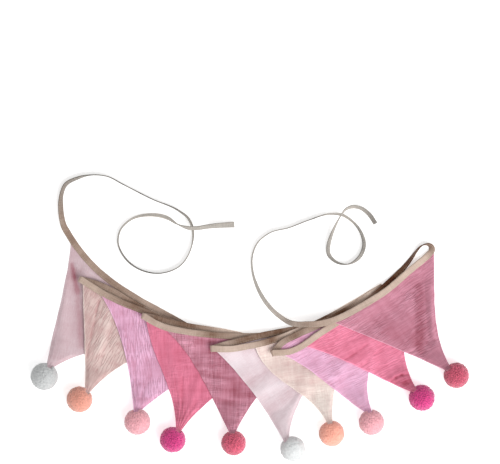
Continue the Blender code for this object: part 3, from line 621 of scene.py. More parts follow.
class Strand:
    """A stretch of tape settled on the pile: its height and sideways slope at a row of stations."""

    def __init__(self, number, curve, start, end, corners, pile, folded):
        first, last = sorted(curve.nearest(corner, start, end) for corner in corners)
        self.number = number
        self.first = max(first, start + FOLD_CLEAR)
        self.last = min(last, end - FOLD_CLEAR)
        self.curve, self.start, self.end = curve, start, end
        before = curve.stations(start, self.first - SLOT_SPARE, STATION_STEP, STATION_TURN)
        after = curve.stations(self.last + SLOT_SPARE, end, STATION_STEP, STATION_TURN)
        heading = np.linspace(self.first, self.last, HEADING_STATIONS)
        self.places = np.concatenate([before, heading, after])
        rows = curve.at(self.places)
        way = curve.travel(self.places)
        right = np.c_[way[:, 1], -way[:, 0]]
        thick = self.slot(self.places)[0]
        lean, lift = np.radians(rows[:, 2]), rows[:, 3]
        height, self.slope = settle(rows[:, :2], right, lean, lift, thick, pile)
        self.height = height + FOLD_SPARE * np.exp(-(self.places - start) / FOLD_FADE) * folded

    def slot(self, s):
        """Thickness, slot depth and slot height: open along the flag, closing past its ends."""
        past = np.maximum(np.maximum(self.first - SLOT_SPARE - s, s - self.last - SLOT_SPARE), 0)
        part = smoothstep(1 - past / SLOT_FADE)
        return [shut + (wide - shut) * part for shut, wide in zip(CLOSED, OPEN)]

    def sections(self, s):
        """Cross sections at distances along it, leaning as the table says plus the slope."""
        rows, way = self.curve.at(s), self.curve.travel(s)
        height = eased(s, self.places, self.height, HEIGHT_EASE)
        tilt = np.radians(rows[:, 2]) + np.arctan(eased(s, self.places, self.slope, SLOPE_EASE))
        forward = np.c_[way, 0 * s]
        right = np.c_[way[:, 1], -way[:, 0], 0 * s]
        across = np.cos(tilt)[:, None] * right + np.sin(tilt)[:, None] * np.array([0.0, 0.0, 1.0])
        normal = unit(np.cross(forward, across))
        share = (s - self.start) / (self.end - self.start)
        tone = np.interp(share, *zip(*TAPE_TONES[self.number]))
        beyond = {1: self.first - s, 10: s - self.last}.get(self.number, 0 * s)
        tie = smoothstep(beyond / TIE_FADE)
        centre = np.c_[rows[:, :2], height]
        return Sections(centre, forward, across, normal, *self.slot(s), tone, tie)


def settle(plan, right, lean, lift, thick, pile):
    """The height of each section's centre, and its sideways slope, clear of what is below."""
    flat, upright = np.abs(np.cos(lean)), np.abs(np.sin(lean))
    reach = 0.5 * TAPE_WIDTH * flat + 0.5 * thick * upright
    right_side = pile.read(pile.drape, plan + right * reach[:, None])
    left_side = pile.read(pile.drape, plan - right * reach[:, None])
    slope = np.clip((right_side - left_side) / (2 * reach), -STEEPEST, STEEPEST) * flat**4
    for _ in range(SLOPE_PASSES):
        slope = np.convolve(np.pad(slope, 1, mode="edge"), (0.25, 0.5, 0.25), mode="valid")
    half = 0.5 * TAPE_WIDTH * upright + 0.5 * thick * flat * np.sqrt(1 + slope**2)
    middle = pile.read(pile.drape, plan)
    height = np.maximum(np.maximum((right_side + left_side) / 2, middle * 0.9), lift) + half
    places = np.linspace(0, 1, 6)[None, :, None]
    sides = np.linspace(-1, 1, 7)[None, None, :]

    def between(values):
        return values[:-1, None, None] * (1 - places) + values[1:, None, None] * places

    offset = between(reach + SIDE_SPARE * flat) * sides
    xs = between(plan[:, 0]) + between(right[:, 0]) * offset
    ys = between(plan[:, 1]) + between(right[:, 1]) * offset
    need = pile.read(pile.floor, np.stack([xs, ys], axis=-1))
    for _ in range(SETTLE_PASSES):
        lack = need + between(half) - between(height) - between(slope) * offset
        lack = np.maximum(lack.max(axis=(1, 2)), 0)
        if lack.max() < SETTLE_CLOSE:
            break
        height += np.maximum(np.r_[lack, 0], np.r_[0, lack])
    return height, slope


def fold_between(before, after):
    """Sections round the fold from the end of one strand to the start of the next.

    Their centres lie on half an ellipse that bulges the way the first strand ran.
    """
    angle = math.pi * np.arange(1, FOLD_SECTIONS + 1) / (FOLD_SECTIONS + 1)
    cos, sin = np.cos(angle)[:, None], np.sin(angle)[:, None]
    low, high = before.centre[-1], after.centre[0]
    middle, arm = (low + high) / 2, (low - high) / 2
    out = unit(before.way[-1] - after.way[0])
    spoke = cos * arm + sin * np.linalg.norm(arm) * out
    across = unit((1 + cos) / 2 * before.across[-1] + (1 - cos) / 2 * after.across[0])
    facing = math.copysign(1.0, float(before.normal[-1] @ arm))
    radial = facing * unit(spoke)
    normal = unit(radial - (radial * across).sum(axis=1, keepdims=True) * across)
    way = unit(sin * before.way[-1] + cos * out)
    share = angle / math.pi
    measures = zip(before[4:], after[4:])
    blends = [first[-1] * (1 - share) + second[0] * share for first, second in measures]
    return Sections(middle + spoke, way, across, normal, *blends)


def curves():
    """The tape's centre lines between folds; strands 9 and 10 share one."""
    level = {}
    for number, line in STRANDS.items():
        leans = np.linspace(line.first_lean, line.last_lean, 4)
        level[number] = [(x, y, lean, 0) for x, y, lean in zip(line[:8:2], line[1:8:2], leans)]
    runs = {}
    for number in range(1, 9):
        start = LEFT_TIE if number == 1 else [(*FOLDS[number - 1], level[number][0][2], 0)]
        runs[number] = [*start, *level[number], (*FOLDS[number], level[number][-1][2], 0)]
    runs[9] = [(*FOLDS[8], 0, 0), *level[9], *TURN, *level[10], *RIGHT_TIE]
    scale = np.array([MM, MM, 1, MM])
    found = {number: Curve(np.array(rows) * scale) for number, rows in runs.items()}
    return {**found, 10: found[9]}


def lines_field(number, plan, lines):
    """Height of ridges and troughs: a bell curve of the distance to each line of the flag."""
    height = np.zeros(plan.shape[:-1])
    for line in lines:
        if line.flag == number:
            start = in_plan(line.x0, line.y0)
            run = in_plan(line.x1, line.y1) - start
            share = np.clip((plan - start) @ run / (run @ run), 0, 1)
            away = np.linalg.norm(plan - (start + share[..., None] * run), axis=-1)
            height += line.height * MM * bell(away, line.half_width * MM)
    return height


def tone_and_painted_light(number, plan):
    """How much lighter or darker a flag is painted: its own tone, partly painted shade, plus a bell
    curve of painted light and shade round each patch.
    """
    tone = np.full(plan.shape[:-1], CLOTHS[number].tone)
    for patch in PAINTED_LIGHT_PATCHES:
        if patch.flag == number:
            away = np.linalg.norm(plan - in_plan(patch.x, patch.y), axis=-1)
            tone += patch.tone * bell(away, patch.reach * MM)
    return tone


def on_cloth(plan, angle):
    """Places in plan as distances along and across a cloth whose lines run at this angle."""
    cos, sin = math.cos(math.radians(angle)), math.sin(math.radians(angle))
    return plan[..., 0] * cos + plan[..., 1] * sin, -plan[..., 0] * sin + plan[..., 1] * cos


def crinkle_field(number, plan):
    """Fine crinkles from -1 to 1: two sizes of noise drawn out along the lines, plus some across.

    The lines wander, because each point is first moved sideways by a slow noise. Sharp ridges come
    from one minus the noise without its sign.
    """
    cloth = CLOTHS[number]
    along, across = (distance / MM for distance in on_cloth(plan, cloth.angle))
    across = across + 2.2 * noise(along / 23, across / 19, number)
    wide, long = cloth.width, cloth.length
    broad = noise(across / wide, along / long, number + 11)
    fine = noise(across / (0.52 * wide), along / (0.6 * long), number + 23)
    sharp = 1 - 2 * np.abs(noise(across / (1.3 * wide), along / (1.2 * long), number + 37))
    weft = noise(along / (1.1 * wide), across / (0.7 * long), number + 41)
    main = 0.42 * broad + 0.3 * fine + 0.42 * sharp
    return (1 - 0.4 * cloth.cross) * main + 0.6 * cloth.cross * weft


def widened(grid, grow, smooth):
    """The grid with each value grown to the largest round it, then averaged, some times over."""
    for times, pick in ((grow, np.max), (smooth, np.mean)):
        for _ in range(times):
            wide = np.pad(grid, 1, mode="edge")
            rows, columns = grid.shape
            around = [wide[i : i + rows, j : j + columns] for i in range(3) for j in range(3)]
            grid = pick(around, axis=0)
    return grid


class Flag:
    """The middle surface of a flag on a grid: rows from inside the tape down to the tip, and
    columns across that stand close together at the side edges.

    Below the tape it lies on the drape of what is under it, plus its ridges. Bell curves and
    smooth steps lead it from the tape's mouth, up to its pompom, and down at its side edges.
    """

    def __init__(self, number, strand, pile):
        row = FLAGS[number]
        self.number = number
        corners = strand.sections(np.array([strand.first, strand.last]))
        corners = corners.centre + TAPE_WIDTH / 2 * corners.across
        if number % 2 == 0:
            corners = corners[::-1]
        pompom = in_plan(row.pompom_x, row.pompom_y)
        toward = unit(pompom - in_plan(row.tip_x, row.tip_y))
        tip = pompom - toward * TIP_REACH
        side = np.array([toward[1], -toward[0]])
        if side @ (corners[0, :2] - corners[-1, :2]) < 0:
            side = -side
        v = np.linspace(0, 1, ROWS + 1)[1:, None]
        outward = unit(corners[0, :2] - corners[-1, :2])
        half_tip = side * TIP_WIDTH / 2
        left_bows, right_bows = (row.left_upper, row.left_lower), (row.right_upper, row.right_lower)
        left = side_edge(corners[0, :2], tip + half_tip, left_bows, outward, v, number + 51)
        right = side_edge(corners[-1, :2], tip - half_tip, right_bows, -outward, v, number + 52)
        width = np.linalg.norm(right - left, axis=1)
        top_width = np.linalg.norm(corners[-1] - corners[0])
        u = edge_spaced(np.r_[top_width, width])
        first_u, u = u[0], u[1:]

        share = first_u if number % 2 else 1 - first_u
        held = strand.sections(strand.first + share * (strand.last - strand.first))
        mouth = held.centre + TAPE_WIDTH / 2 * held.across
        inside = np.linspace(FLAG_TONGUE, TONGUE_END, TONGUE_ROWS)[:, None, None]
        tongue = held.centre + (TAPE_WIDTH / 2 - inside) * held.across
        start, chord = mouth[0, :2], mouth[-1, :2] - mouth[0, :2]
        sag = mouth[:, :2] - (start + first_u[:, None] * chord)
        sag = np.stack([np.interp(u, first_u, sag[:, i]) for i in (0, 1)], axis=-1)
        straight = start + u[..., None] * chord
        plan = left[:, None] + u[..., None] * (right - left)[:, None]
        plan = plan + (1 - v[:, :, None]) ** 2 * sag

        from_mouth = np.linalg.norm(plan - straight, axis=-1)
        first = mouth[:, 2] - pile.read(pile.drape, mouth[:, :2]) - FLAG_THICK / 2
        height = pile.read(pile.drape, plan) + FLAG_THICK / 2 + lines_field(number, plan, RIDGES)
        height = height + np.interp(u, first_u, first) * bell(from_mouth, HEADING_BLEND)
        tip_height = SINK * row.radius * MM
        hold = pompom - toward * TIP_HOLD
        from_tip = np.linalg.norm(plan - hold, axis=-1)
        past = np.maximum((plan - hold) @ toward, 0)
        climb = np.where(past > 0, 1.0, smoothstep(1 - from_tip / TIP_CLIMB))
        height = height + np.maximum(tip_height - height, 0) * climb
        height = height + TIP_LAP * smoothstep(past / (TIP_HOLD - TIP_REACH))
        need = pile.read(pile.floor, plan) + FLAG_THICK / 2
        free = smoothstep(from_mouth / FREE_FROM)
        height = height + widened(np.maximum(need - height, 0), 1, 3) * free
        edge = np.minimum(u, 1 - u) * width[:, None]
        sunk = smoothstep(1 - edge / EDGE_DROP) * smoothstep(from_mouth / HEADING_BLEND)
        height = height - EDGE_SINK * sunk * (1 - climb) * np.maximum(height - need, 0)
        self.laid = np.concatenate([tongue, mouth[None], np.dstack([plan, height])])
        self.plan, self.height, self.need, self.free = plan, height, need, free
        self.u, self.from_tip, self.width, self.v = u, from_tip, width[:, None], v
        first_edge = np.minimum(first_u, 1 - first_u)[None] * top_width
        self.edge = np.concatenate([np.repeat(first_edge, TONGUE_ROWS + 1, axis=0), edge])

    def finished(self, crinkle_share):
        """The laid surface with its crinkles, creases and pleats, and how high they stand.

        A pleat is a sine across the flag that dies away from the tip and widens with the flag.
        """
        number, u, cloth = self.number, self.u, CLOTHS[self.number]
        wander = PLEAT_WANDER * noise(6 * self.v, 0 * self.v, number + 61)
        wave = np.sin(2 * math.pi * (cloth.pleats * (u - 0.5) + wander) + number)
        tallest = np.minimum(cloth.pleat_height * MM, PLEAT_MOST * self.width)
        pleats = tallest * np.exp(-self.from_tip / (cloth.pleat_reach * MM)) * wave
        inward = smoothstep(self.edge[-len(u) :] / CALM_EDGE)
        at_edge = CALM_SHARE + (1 - CALM_SHARE) * inward
        scale = cloth.height * MM * crinkle_share
        crinkle = scale * crinkle_field(number, self.plan) * at_edge
        sharp = lines_field(number, self.plan, CREASES)
        detail = (crinkle + sharp + pleats) * self.free
        lowest = np.maximum(self.need - CRINKLE_SINK, FLAG_THICK / 2)
        points = self.laid.copy()
        rows = len(points) - len(u)
        points[rows:, :, 2] = np.maximum(self.height + detail, lowest)
        # How high the crinkles, creases and pleats stand, which the gauze turns into painted shade
        # in troughs and painted light on ridges
        fold = crinkle / (0.3 * MM) + 1.2 * (sharp + pleats) / MM
        shade = np.clip(fold, -DEEPEST_FOLD, HIGHEST_FOLD) * self.free
        return points, np.concatenate([np.zeros((rows, u.shape[1])), shade])

    def upper_points(self):
        """Points over the upper side, for the pile."""
        return self.laid[TONGUE_ROWS:] + np.array([0.0, 0.0, FLAG_THICK / 2])


def edge_spaced(width):
    """Shares across a flag, a row for each width: fixed insets at both edges, even between."""
    inset = np.array(EDGE_INSETS) * MM
    near = inset * np.minimum(1, width / (20 * MM))[:, None] / width[:, None]
    middle = np.linspace(0, 1, COLUMNS + 1 - 2 * len(inset) + 2)[1:-1]
    last = near[:, -1:]
    return np.concatenate([near, last + (1 - 2 * last) * middle, 1 - near[:, ::-1]], axis=1)


def side_edge(start, end, bows, outward, v, seed):
    """A side edge in plan, at shares v of its length.

    It is a straight line, plus two bows whose cubics peak at a third and at two thirds of it, plus
    a slow noise times a sine that is zero at both ends.
    """
    line = end - start
    normal = unit(np.array([line[1], -line[0]]))
    if normal @ outward < 0:
        normal = -normal
    bow = normal * 6.75 * v * (1 - v) * ((1 - v) * bows[0] + v * bows[1]) * MM
    waver = outward * EDGE_WAVER * MM * noise(v * 14, 0 * v, seed) * np.sin(math.pi * v)
    return start + line * v + bow + waver


@functools.cache
def layout():
    """Lays the whole strip, piece by piece: the tape's sections and the ten flags."""
    pile = Pile()
    lines = curves()
    turn_middle = lines[9].nearest(in_plan(*TURN[TURN_MIDDLE][:2]))
    parts, flags = [], {}
    for number in range(1, 11):
        row = FLAGS[number]
        corners = in_plan(row.left_x, row.left_y), in_plan(row.right_x, row.right_y)
        start = turn_middle if number == 10 else 0.0
        end = turn_middle if number == 9 else lines[number].length
        folded = number not in (1, 10)
        strand = Strand(number, lines[number], start, end, corners, pile, folded)
        flags[number] = Flag(number, strand, pile)
        pile.cover(flags[number].upper_points())
        sections = strand.sections(lines[number].stations(start, end, TAPE_STEP, TAPE_TURN))
        pile.cover(sections.upper_points())
        if folded:
            parts.append(fold_between(parts[-1], sections))
            pile.cover(parts[-1].centre + np.array([0, 0, TIE_THICK / 2]))
        parts.append(sections)
    return Sections(*(np.concatenate(values) for values in zip(*parts))), flags


def ring_quads(rings, around):
    """Faces between rings of points, each numbered after the one before it."""
    start, j = (np.arange(rings - 1) * around)[:, None], np.arange(around)
    here, after = start + j, start + (j + 1) % around
    return np.stack([here, after, after + around, here + around], axis=-1).reshape(-1, 4)


def tape_profile(sections):
    """Points round each section of the folded strip, and their distance from the open edge.

    The outline is a U: flat outer sides at half the thickness, a half circle round the fold, two
    leaves with rounded ends, and the slot between them. Every part is placed by the section's own
    thickness and slot, so one outline serves the open heading and the closed ties.
    """
    thick = 0.5 * PRESSED * sections.thick[:, None]
    gap = 0.5 * PRESSED * sections.slot_height[:, None]
    wide = TAPE_WIDTH / 2
    leaf = (thick - gap) / 2
    deep = wide - sections.slot_depth[:, None]
    run = np.linspace(0, 1, 5)[None]
    bend = np.radians([-60, 0, 60])
    fold = np.radians([120, 150, 180, 210, 240])
    first, last = thick - wide, wide - leaf
    half = (
        (first + (last - first) * run, 0 * run - thick),
        (last + leaf * np.cos(bend), leaf * np.sin(bend) - (thick + gap) / 2),
        (last + (deep - last) * run, 0 * run - gap),
    )
    leaf_across, leaf_out = (np.concatenate(parts, axis=1) for parts in zip(*half))
    fold_across = first + thick * np.cos(fold)
    across = [leaf_across, deep - 0.5 * gap, leaf_across[:, ::-1], fold_across]
    out = [leaf_out, 0 * gap, -leaf_out[:, ::-1], thick * np.sin(fold)]
    across, out = np.concatenate(across, axis=1), np.concatenate(out, axis=1)
    return across, out, wide - across


def tape_piece(sections):
    """The tape as one closed loft: the outline carried along every section, with flat ends.

    Its edges wander by slow noise along the strip, as cut linen does.
    """
    across, out, from_edge = tape_profile(sections)
    count, around = across.shape
    step = np.linalg.norm(np.diff(sections.centre, axis=0), axis=1)
    along = np.r_[0, np.cumsum(step)]
    wander, swell = (
        size * noise(along / length, 0 * along, seed)[:, None] for size, length, seed in TAPE_WANDER
    )
    across = across * (1 + swell / TAPE_WIDTH * 2) + wander
    points = (
        sections.centre[:, None]
        + across[..., None] * sections.across[:, None]
        + out[..., None] * sections.normal[:, None]
    )
    points[..., 2] = np.maximum(points[..., 2], 0)
    seam = np.linalg.norm(np.diff(np.c_[across.mean(0), out.mean(0)], axis=0), axis=1)
    round_way = np.r_[0, np.cumsum(seam)]
    ring = np.arange(around)
    ends = [list(ring[::-1]), list(ring + (count - 1) * around)]
    mesh = closed_mesh("tape_cloth", points, ring_quads(count, around).tolist() + ends)
    set_uv(mesh, *np.broadcast_arrays(along[:, None], round_way))
    set_values(mesh, "from_edge", from_edge)
    set_values(mesh, "tone", np.repeat(sections.tone, around))
    set_values(mesh, "tie", np.repeat(sections.tie, around))
    return finished_object(mesh)


def closed_mesh(name, points, faces):
    """A mesh from an array of points and a list of faces, smooth shaded, with faces outwards."""
    mesh = bpy.data.meshes.new(name)
    mesh.from_pydata(points.reshape(-1, 3).tolist(), [], faces)
    mesh.polygons.foreach_set("use_smooth", np.ones(len(mesh.polygons), bool))
    mesh.update()
    corners = np.empty(3 * len(mesh.vertices))
    mesh.vertices.foreach_get("co", corners)
    mesh.calc_loop_triangles()
    triangles = np.empty(3 * len(mesh.loop_triangles), np.int32)
    mesh.loop_triangles.foreach_get("vertices", triangles)
    a, b, c = (corners.reshape(-1, 3)[triangles.reshape(-1, 3)[:, k]] for k in range(3))
    if np.einsum("ij,ij->", a, np.cross(b, c)) < 0:
        mesh.flip_normals()
    return mesh


def set_uv(mesh, along, across):
    """A UV map in metres from two distances for each vertex."""
    loops = np.empty(len(mesh.loops), np.int32)
    mesh.loops.foreach_get("vertex_index", loops)
    place = np.stack([along, across], axis=-1).reshape(-1, 2)
    layer = mesh.uv_layers.new(name="cloth_metres")
    layer.uv.foreach_set("vector", place[loops].ravel())


def set_values(mesh, name, values):
    layer = mesh.attributes.new(name, "FLOAT", "POINT")
    layer.data.foreach_set("value", np.ascontiguousarray(values, float).ravel())


def finished_object(mesh):
    obj = bpy.data.objects.new(mesh.name, mesh)
    bpy.context.scene.collection.objects.link(obj)
    return obj


def flag_piece(number, flag, settings):
    """A flag as a closed sheet: its middle surface moved up and down by half the cloth.

    Half the cloth is a quarter circle at the side edges, where both faces meet, plus a low bell
    curve that is the seam allowance inside the hem. Each row is one ring of points, over and back
    under, and the first and last rows are closed by a strip.
    """
    grid, shade = flag.finished(settings.crinkle)
    rows, columns = grid.shape[:2]
    turned = np.sqrt(1 - (1 - np.clip(flag.edge / EDGE_ROUND, 0, 1)) ** 2)
    below_tape = (np.arange(rows) > TONGUE_ROWS)[:, None]
    hem = bell(flag.edge - HEM_IN, HEM_REACH) * below_tape
    half = 0.5 * (CLOTH_THICK * turned + HEM_THICK * hem)
    up = unit(np.cross(np.gradient(grid, axis=0), np.gradient(grid, axis=1)))
    up = np.where(up[..., 2:] < 0, -up, up)
    rise = half[..., None] * up
    under = (grid - rise)[:, -2:0:-1]
    points = np.concatenate([grid + rise, under], axis=1)
    points[..., 2] = np.maximum(points[..., 2], 0)
    around = points.shape[1]
    over = np.arange(columns)
    below = np.r_[0, np.arange(around - 1, columns - 1, -1), columns - 1]
    strip = np.stack([over[1:], over[:-1], below[:-1], below[1:]], axis=1)
    caps = [list(dict.fromkeys(quad)) for quad in strip.tolist()]
    last = [[k + (rows - 1) * around for k in reversed(cap)] for cap in caps]
    faces = ring_quads(rows, around).tolist() + caps + last
    mesh = closed_mesh(f"gauze_{number:02d}", points, faces)
    cloth = CLOTHS[number]
    set_uv(mesh, *on_cloth(points[..., :2], cloth.angle))
    level = np.ones_like(shade)
    left_half = np.arange(columns) < columns / 2
    fields = {
        "fold": shade,
        "from_hem": flag.edge,
        "clear": cloth.clear * level,
        "cross": cloth.line_cross * level,
        # painted light and shade: the flag's own tone and its patches
        "tone": tone_and_painted_light(number, grid[..., :2]),
        "slubby": cloth.slubby * level,
        # painted highlight on the hems, on the side where they catch the light
        "hem": np.where(left_half, cloth.left_hem, cloth.right_hem) * level,
    }
    for name, values in fields.items():
        set_values(mesh, name, np.concatenate([values, values[:, -2:0:-1]], axis=1))
    return finished_object(mesh)


def sphere_directions(count):
    """Directions spread evenly over a sphere: equal steps in height, the golden angle apart."""
    k = np.arange(count) + 0.5
    z = 1 - 2 * k / count
    turn = GOLDEN_ANGLE * k
    level = np.sqrt(1 - z * z)
    return np.c_[level * np.cos(turn), level * np.sin(turn), z]


def yarn_ends(row, number, settings, look):
    """The cut ends of a pompom as tubes of four sides, about its middle.

    A yarn's points are the way it runs times three radii, bent sideways a little by a fixed random
    amount that grows with the radius, with four points round each. Those that would pass the floor
    are pushed up to it and out, and those over the flag's tip are cut short so that the cloth laps
    onto the ball. Gives the points by yarn, ring and side, each yarn's reach and its own tone.
    """
    radius, height = row.radius * MM, SINK * row.radius * MM
    k = np.arange(settings.yarn_count, dtype=float)
    chance = np.stack([hashed(k, 3.0 * number, seed) for seed in range(6)], axis=1)
    way = unit(sphere_directions(len(k)) + YARN_SCATTER * (chance[:, :3] - 0.5))
    to_tip = tip_direction(row)
    toward = way @ to_tip
    side = np.abs(way @ np.array([-to_tip[1], to_tip[0], 0.0]))
    least_toward, most_aside, least_up = UNDER_CLOTH
    under_cloth = (toward > least_toward) & (side < most_aside) & (way[:, 2] > least_up)
    reach = radius * (YARN_REACH + YARN_UNEVEN * (chance[:, 3] - 0.5))
    cut_short = np.minimum(reach, TIP_NOTCH / np.maximum(toward, least_toward))
    reach = np.where(under_cloth, cut_short, reach)
    shares = np.array(YARN_RINGS)
    bend = unit(np.cross(way, chance[:, :3] - 0.5)) * YARN_BEND * (chance[:, 4] - 0.2)[:, None]
    spine = way[:, None] * reach[:, None, None] * shares[:, None]
    spine = spine + bend[:, None] * (shares**2)[:, None]
    thick = 0.5 * look.spread * settings.yarn_width * np.array(YARN_FLARE)[:, None]
    thinnest, more = YARN_WIDTHS
    thick = thick * (thinnest + more * chance[:, 5])[:, None, None]
    one = unit(np.cross(way, np.array([0.3, 0.5, 0.8])))
    two = np.cross(way, one)
    turn = (np.arange(4) + chance[:, 5][:, None] * 4) * math.pi / 2
    ring = np.cos(turn)[..., None] * one[:, None] + np.sin(turn)[..., None] * two[:, None]
    points = spine[:, :, None] + thick[..., None] * ring[:, None]
    lack = np.maximum(YARN_FLOOR - (points[..., 2] + height), 0)
    points[..., 2] += lack
    points[..., :2] += YARN_SPLAY * lack[..., None] * unit(points[..., :2])
    return points, reach, 0.5 + 0.5 * chance[:, 4]


def tip_direction(row):
    """The way from a pompom's middle to its flag's tip, in plan."""
    return unit(np.array([row.tip_x - row.pompom_x, row.tip_y - row.pompom_y, 0.0]))


def pompom_piece(number, settings, look):
    """A pompom: cut yarn ends that stand out of a dense middle, each a closed tube.

    The middle is a ball, flat toward the flag's tip and on the floor. The surface's shading is
    turned part of the way to a round ball's, as brushing does.
    """
    row = FLAGS[number]
    radius, height = row.radius * MM, SINK * row.radius * MM
    ends, reach, tone = yarn_ends(row, number, settings, look)
    count, rings, sides = ends.shape[:3]
    each = rings * sides
    base = (np.arange(count) * each)[:, None]
    tubes = (base[..., None] + ring_quads(rings, sides)).reshape(-1, 4)
    roots = base + np.arange(sides)[::-1]
    tips = base + each - sides + np.arange(sides)
    depth = np.tile(np.repeat(YARN_RINGS, sides), count) * np.repeat(reach / radius, each)

    middle, middle_faces = ball(CORE_SHARE * radius)
    to_tip = tip_direction(row)
    middle -= np.maximum(middle @ to_tip - TIP_NOTCH, 0)[:, None] * to_tip
    middle[:, 2] = np.maximum(middle[:, 2], YARN_FLOOR - height)
    first = count * each
    faces = np.concatenate([tubes, roots, tips]).tolist()
    faces += [[first + k for k in face] for face in middle_faces]
    points = np.concatenate([ends.reshape(-1, 3), middle])
    centre = np.array([row.pompom_x * MM, row.pompom_y * MM, height])
    mesh = closed_mesh(f"yarn_ball_{number:02d}", points + centre, faces)
    own = np.empty(3 * len(points))
    mesh.vertices.foreach_get("normal", own)
    brushed = look.brushed * unit(points) + (1 - look.brushed) * own.reshape(-1, 3)
    mesh.normals_split_custom_set_from_vertices(unit(brushed).tolist())
    set_values(mesh, "tone", np.r_[np.repeat(tone, each), np.full(len(middle), 0.5)])
    set_values(mesh, "depth", np.r_[depth, np.full(len(middle), CORE_SHARE)])
    # each pompom's level: partly a change of its yarn's colour and partly painted light, as the
    # light falls on it
    set_values(mesh, "level", np.full(len(points), CLOTHS[number].pompom_tone))
    return finished_object(mesh)


def ball(radius, around=20, rings=10):
    """A closed ball: rings of points at even angles from pole to pole, which are single points."""
    polar = (np.arange(1, rings) * math.pi / rings)[:, None]
    turn = (np.arange(around) * 2 * math.pi / around)[None]
    level = np.sin(polar)
    xyz = np.broadcast_arrays(level * np.cos(turn), level * np.sin(turn), np.cos(polar))
    points = np.stack(xyz, axis=-1).reshape(-1, 3)
    top, bottom = len(points), len(points) + 1
    last = (rings - 2) * around
    faces = np.roll(ring_quads(rings - 1, around)[:, ::-1], 1, axis=1).tolist()
    faces += [[top, a, (a + 1) % around] for a in range(around)]
    faces += [[bottom, last + (a + 1) % around, last + a] for a in range(around)]
    return radius * np.concatenate([points, [[0, 0, 1], [0, 0, -1]]]), faces


class Finish:
    """A material built node by node; each method adds nodes and gives their output."""

    def __init__(self, name, roughness, sheen=0.0, sheen_roughness=0.5):
        self.material = bpy.data.materials.new(name)
        self.material.use_nodes = True
        self.tree = self.material.node_tree
        self.shader = self.tree.nodes["Principled BSDF"]
        self.shader.inputs["Roughness"].default_value = roughness
        self.shader.inputs["Specular IOR Level"].default_value = 0.25
        self.shader.inputs["Sheen Weight"].default_value = sheen
        self.shader.inputs["Sheen Roughness"].default_value = sheen_roughness

    def add(self, kind, values, output=0, **settings):
        node = self.tree.nodes.new(kind)
        for key, value in settings.items():
            setattr(node, key, value)
        for key, value in dict(values).items():
            if isinstance(value, bpy.types.NodeSocket):
                self.tree.links.new(value, node.inputs[key])
            else:
                node.inputs[key].default_value = value
        return node.outputs[output]

    def math(self, operation, *values):
        return self.add("ShaderNodeMath", enumerate(values), operation=operation)

    def total(self, *values):
        return functools.reduce(functools.partial(self.math, "ADD"), values)

    def product(self, *values):
        return functools.reduce(functools.partial(self.math, "MULTIPLY"), values)

    def away(self, value, middle):
        return self.math("ABSOLUTE", self.math("SUBTRACT", value, middle))

    def attribute(self, name):
        return self.add("ShaderNodeAttribute", (), output="Fac", attribute_name=name)

    def split(self, vector):
        return self.add("ShaderNodeSeparateXYZ", {0: vector}).node.outputs

    def stretched(self, place, stretch):
        values = {0: place, 1: stretch}
        return self.add("ShaderNodeVectorMath", values, operation="MULTIPLY")

    def on_cloth(self, along=1, across=1):
        """The cloth's own UV map, in metres, times a stretch each way."""
        place = self.add("ShaderNodeUVMap", (), uv_map="cloth_metres")
        return self.stretched(place, (along, across, 1))

    def in_object(self):
        place = self.add("ShaderNodeTexCoord", (), output="Object")
        return self.stretched(place, (1, 1, 1))

    def noise(self, vector, scale, detail=2.0, roughness=0.5):
        values = {"Vector": vector, "Scale": scale, "Detail": detail, "Roughness": roughness}
        return self.add("ShaderNodeTexNoise", values, output="Fac")

    def streaks(self, along, across, detail=2.0, roughness=0.5):
        """Noise on the cloth with this many grains a metre each way."""
        return self.noise(self.on_cloth(along, across), 1.0, detail, roughness)

    def scaled(self, value, low, high, to_low, to_high):
        """The value moved from one range to another, and kept inside it."""
        values = {0: value, 1: low, 2: high, 3: to_low, 4: to_high}
        return self.add("ShaderNodeMapRange", values, clamp=True)

    def mix(self, factor, one, two, blend="MIX"):
        values = {0: factor, 6: one, 7: two}
        return self.add("ShaderNodeMix", values, output=2, data_type="RGBA", blend_type=blend)

    def valleys(self, noise):
        """Thin valleys in a flat top: how far a noise is from its middle, cut off soon after."""
        return self.scaled(self.away(noise, 0.5), 0.0, 0.09, 0.0, 1.0)

    def lit(self, colour, *channels):
        """The colour with its red, green and blue multiplied by three values."""
        light = self.add("ShaderNodeCombineColor", enumerate(channels))
        return self.mix(1.0, colour, light, "MULTIPLY")

    def tinted(self, colour, light, strengths):
        """The colour times one plus the light, at its own strength for red, green and blue."""
        channels = [self.math("MULTIPLY_ADD", light, strength, 1.0) for strength in strengths]
        return self.lit(colour, *channels)

    def weave(self, vector, pitch):
        """Height of a plain weave from 0 to 1: two sets of round threads, over and under."""
        x, y, _ = self.split(vector)
        sin_x, sin_y = (self.math("SINE", self.product(way, math.pi / pitch)) for way in (x, y))
        threads = self.total(self.math("ABSOLUTE", sin_x), self.math("ABSOLUTE", sin_y))
        over = self.product(sin_x, sin_y, 0.5)
        return self.total(self.product(threads, 0.35), self.product(over, 0.5))

    def finished(self, colour, *layers):
        """The material, with bumps that are pairs of a height from 0 to 1 and its real height."""
        normal = {}
        for height, distance in layers:
            values = {"Strength": 1.0, "Distance": distance, "Height": height, **normal}
            normal = {"Normal": self.add("ShaderNodeBump", values)}
        for name, socket in {"Base Color": colour, **normal}.items():
            self.tree.links.new(socket, self.shader.inputs[name])
        return self.material


def opaque(colour):
    return (*colour, 1.0)


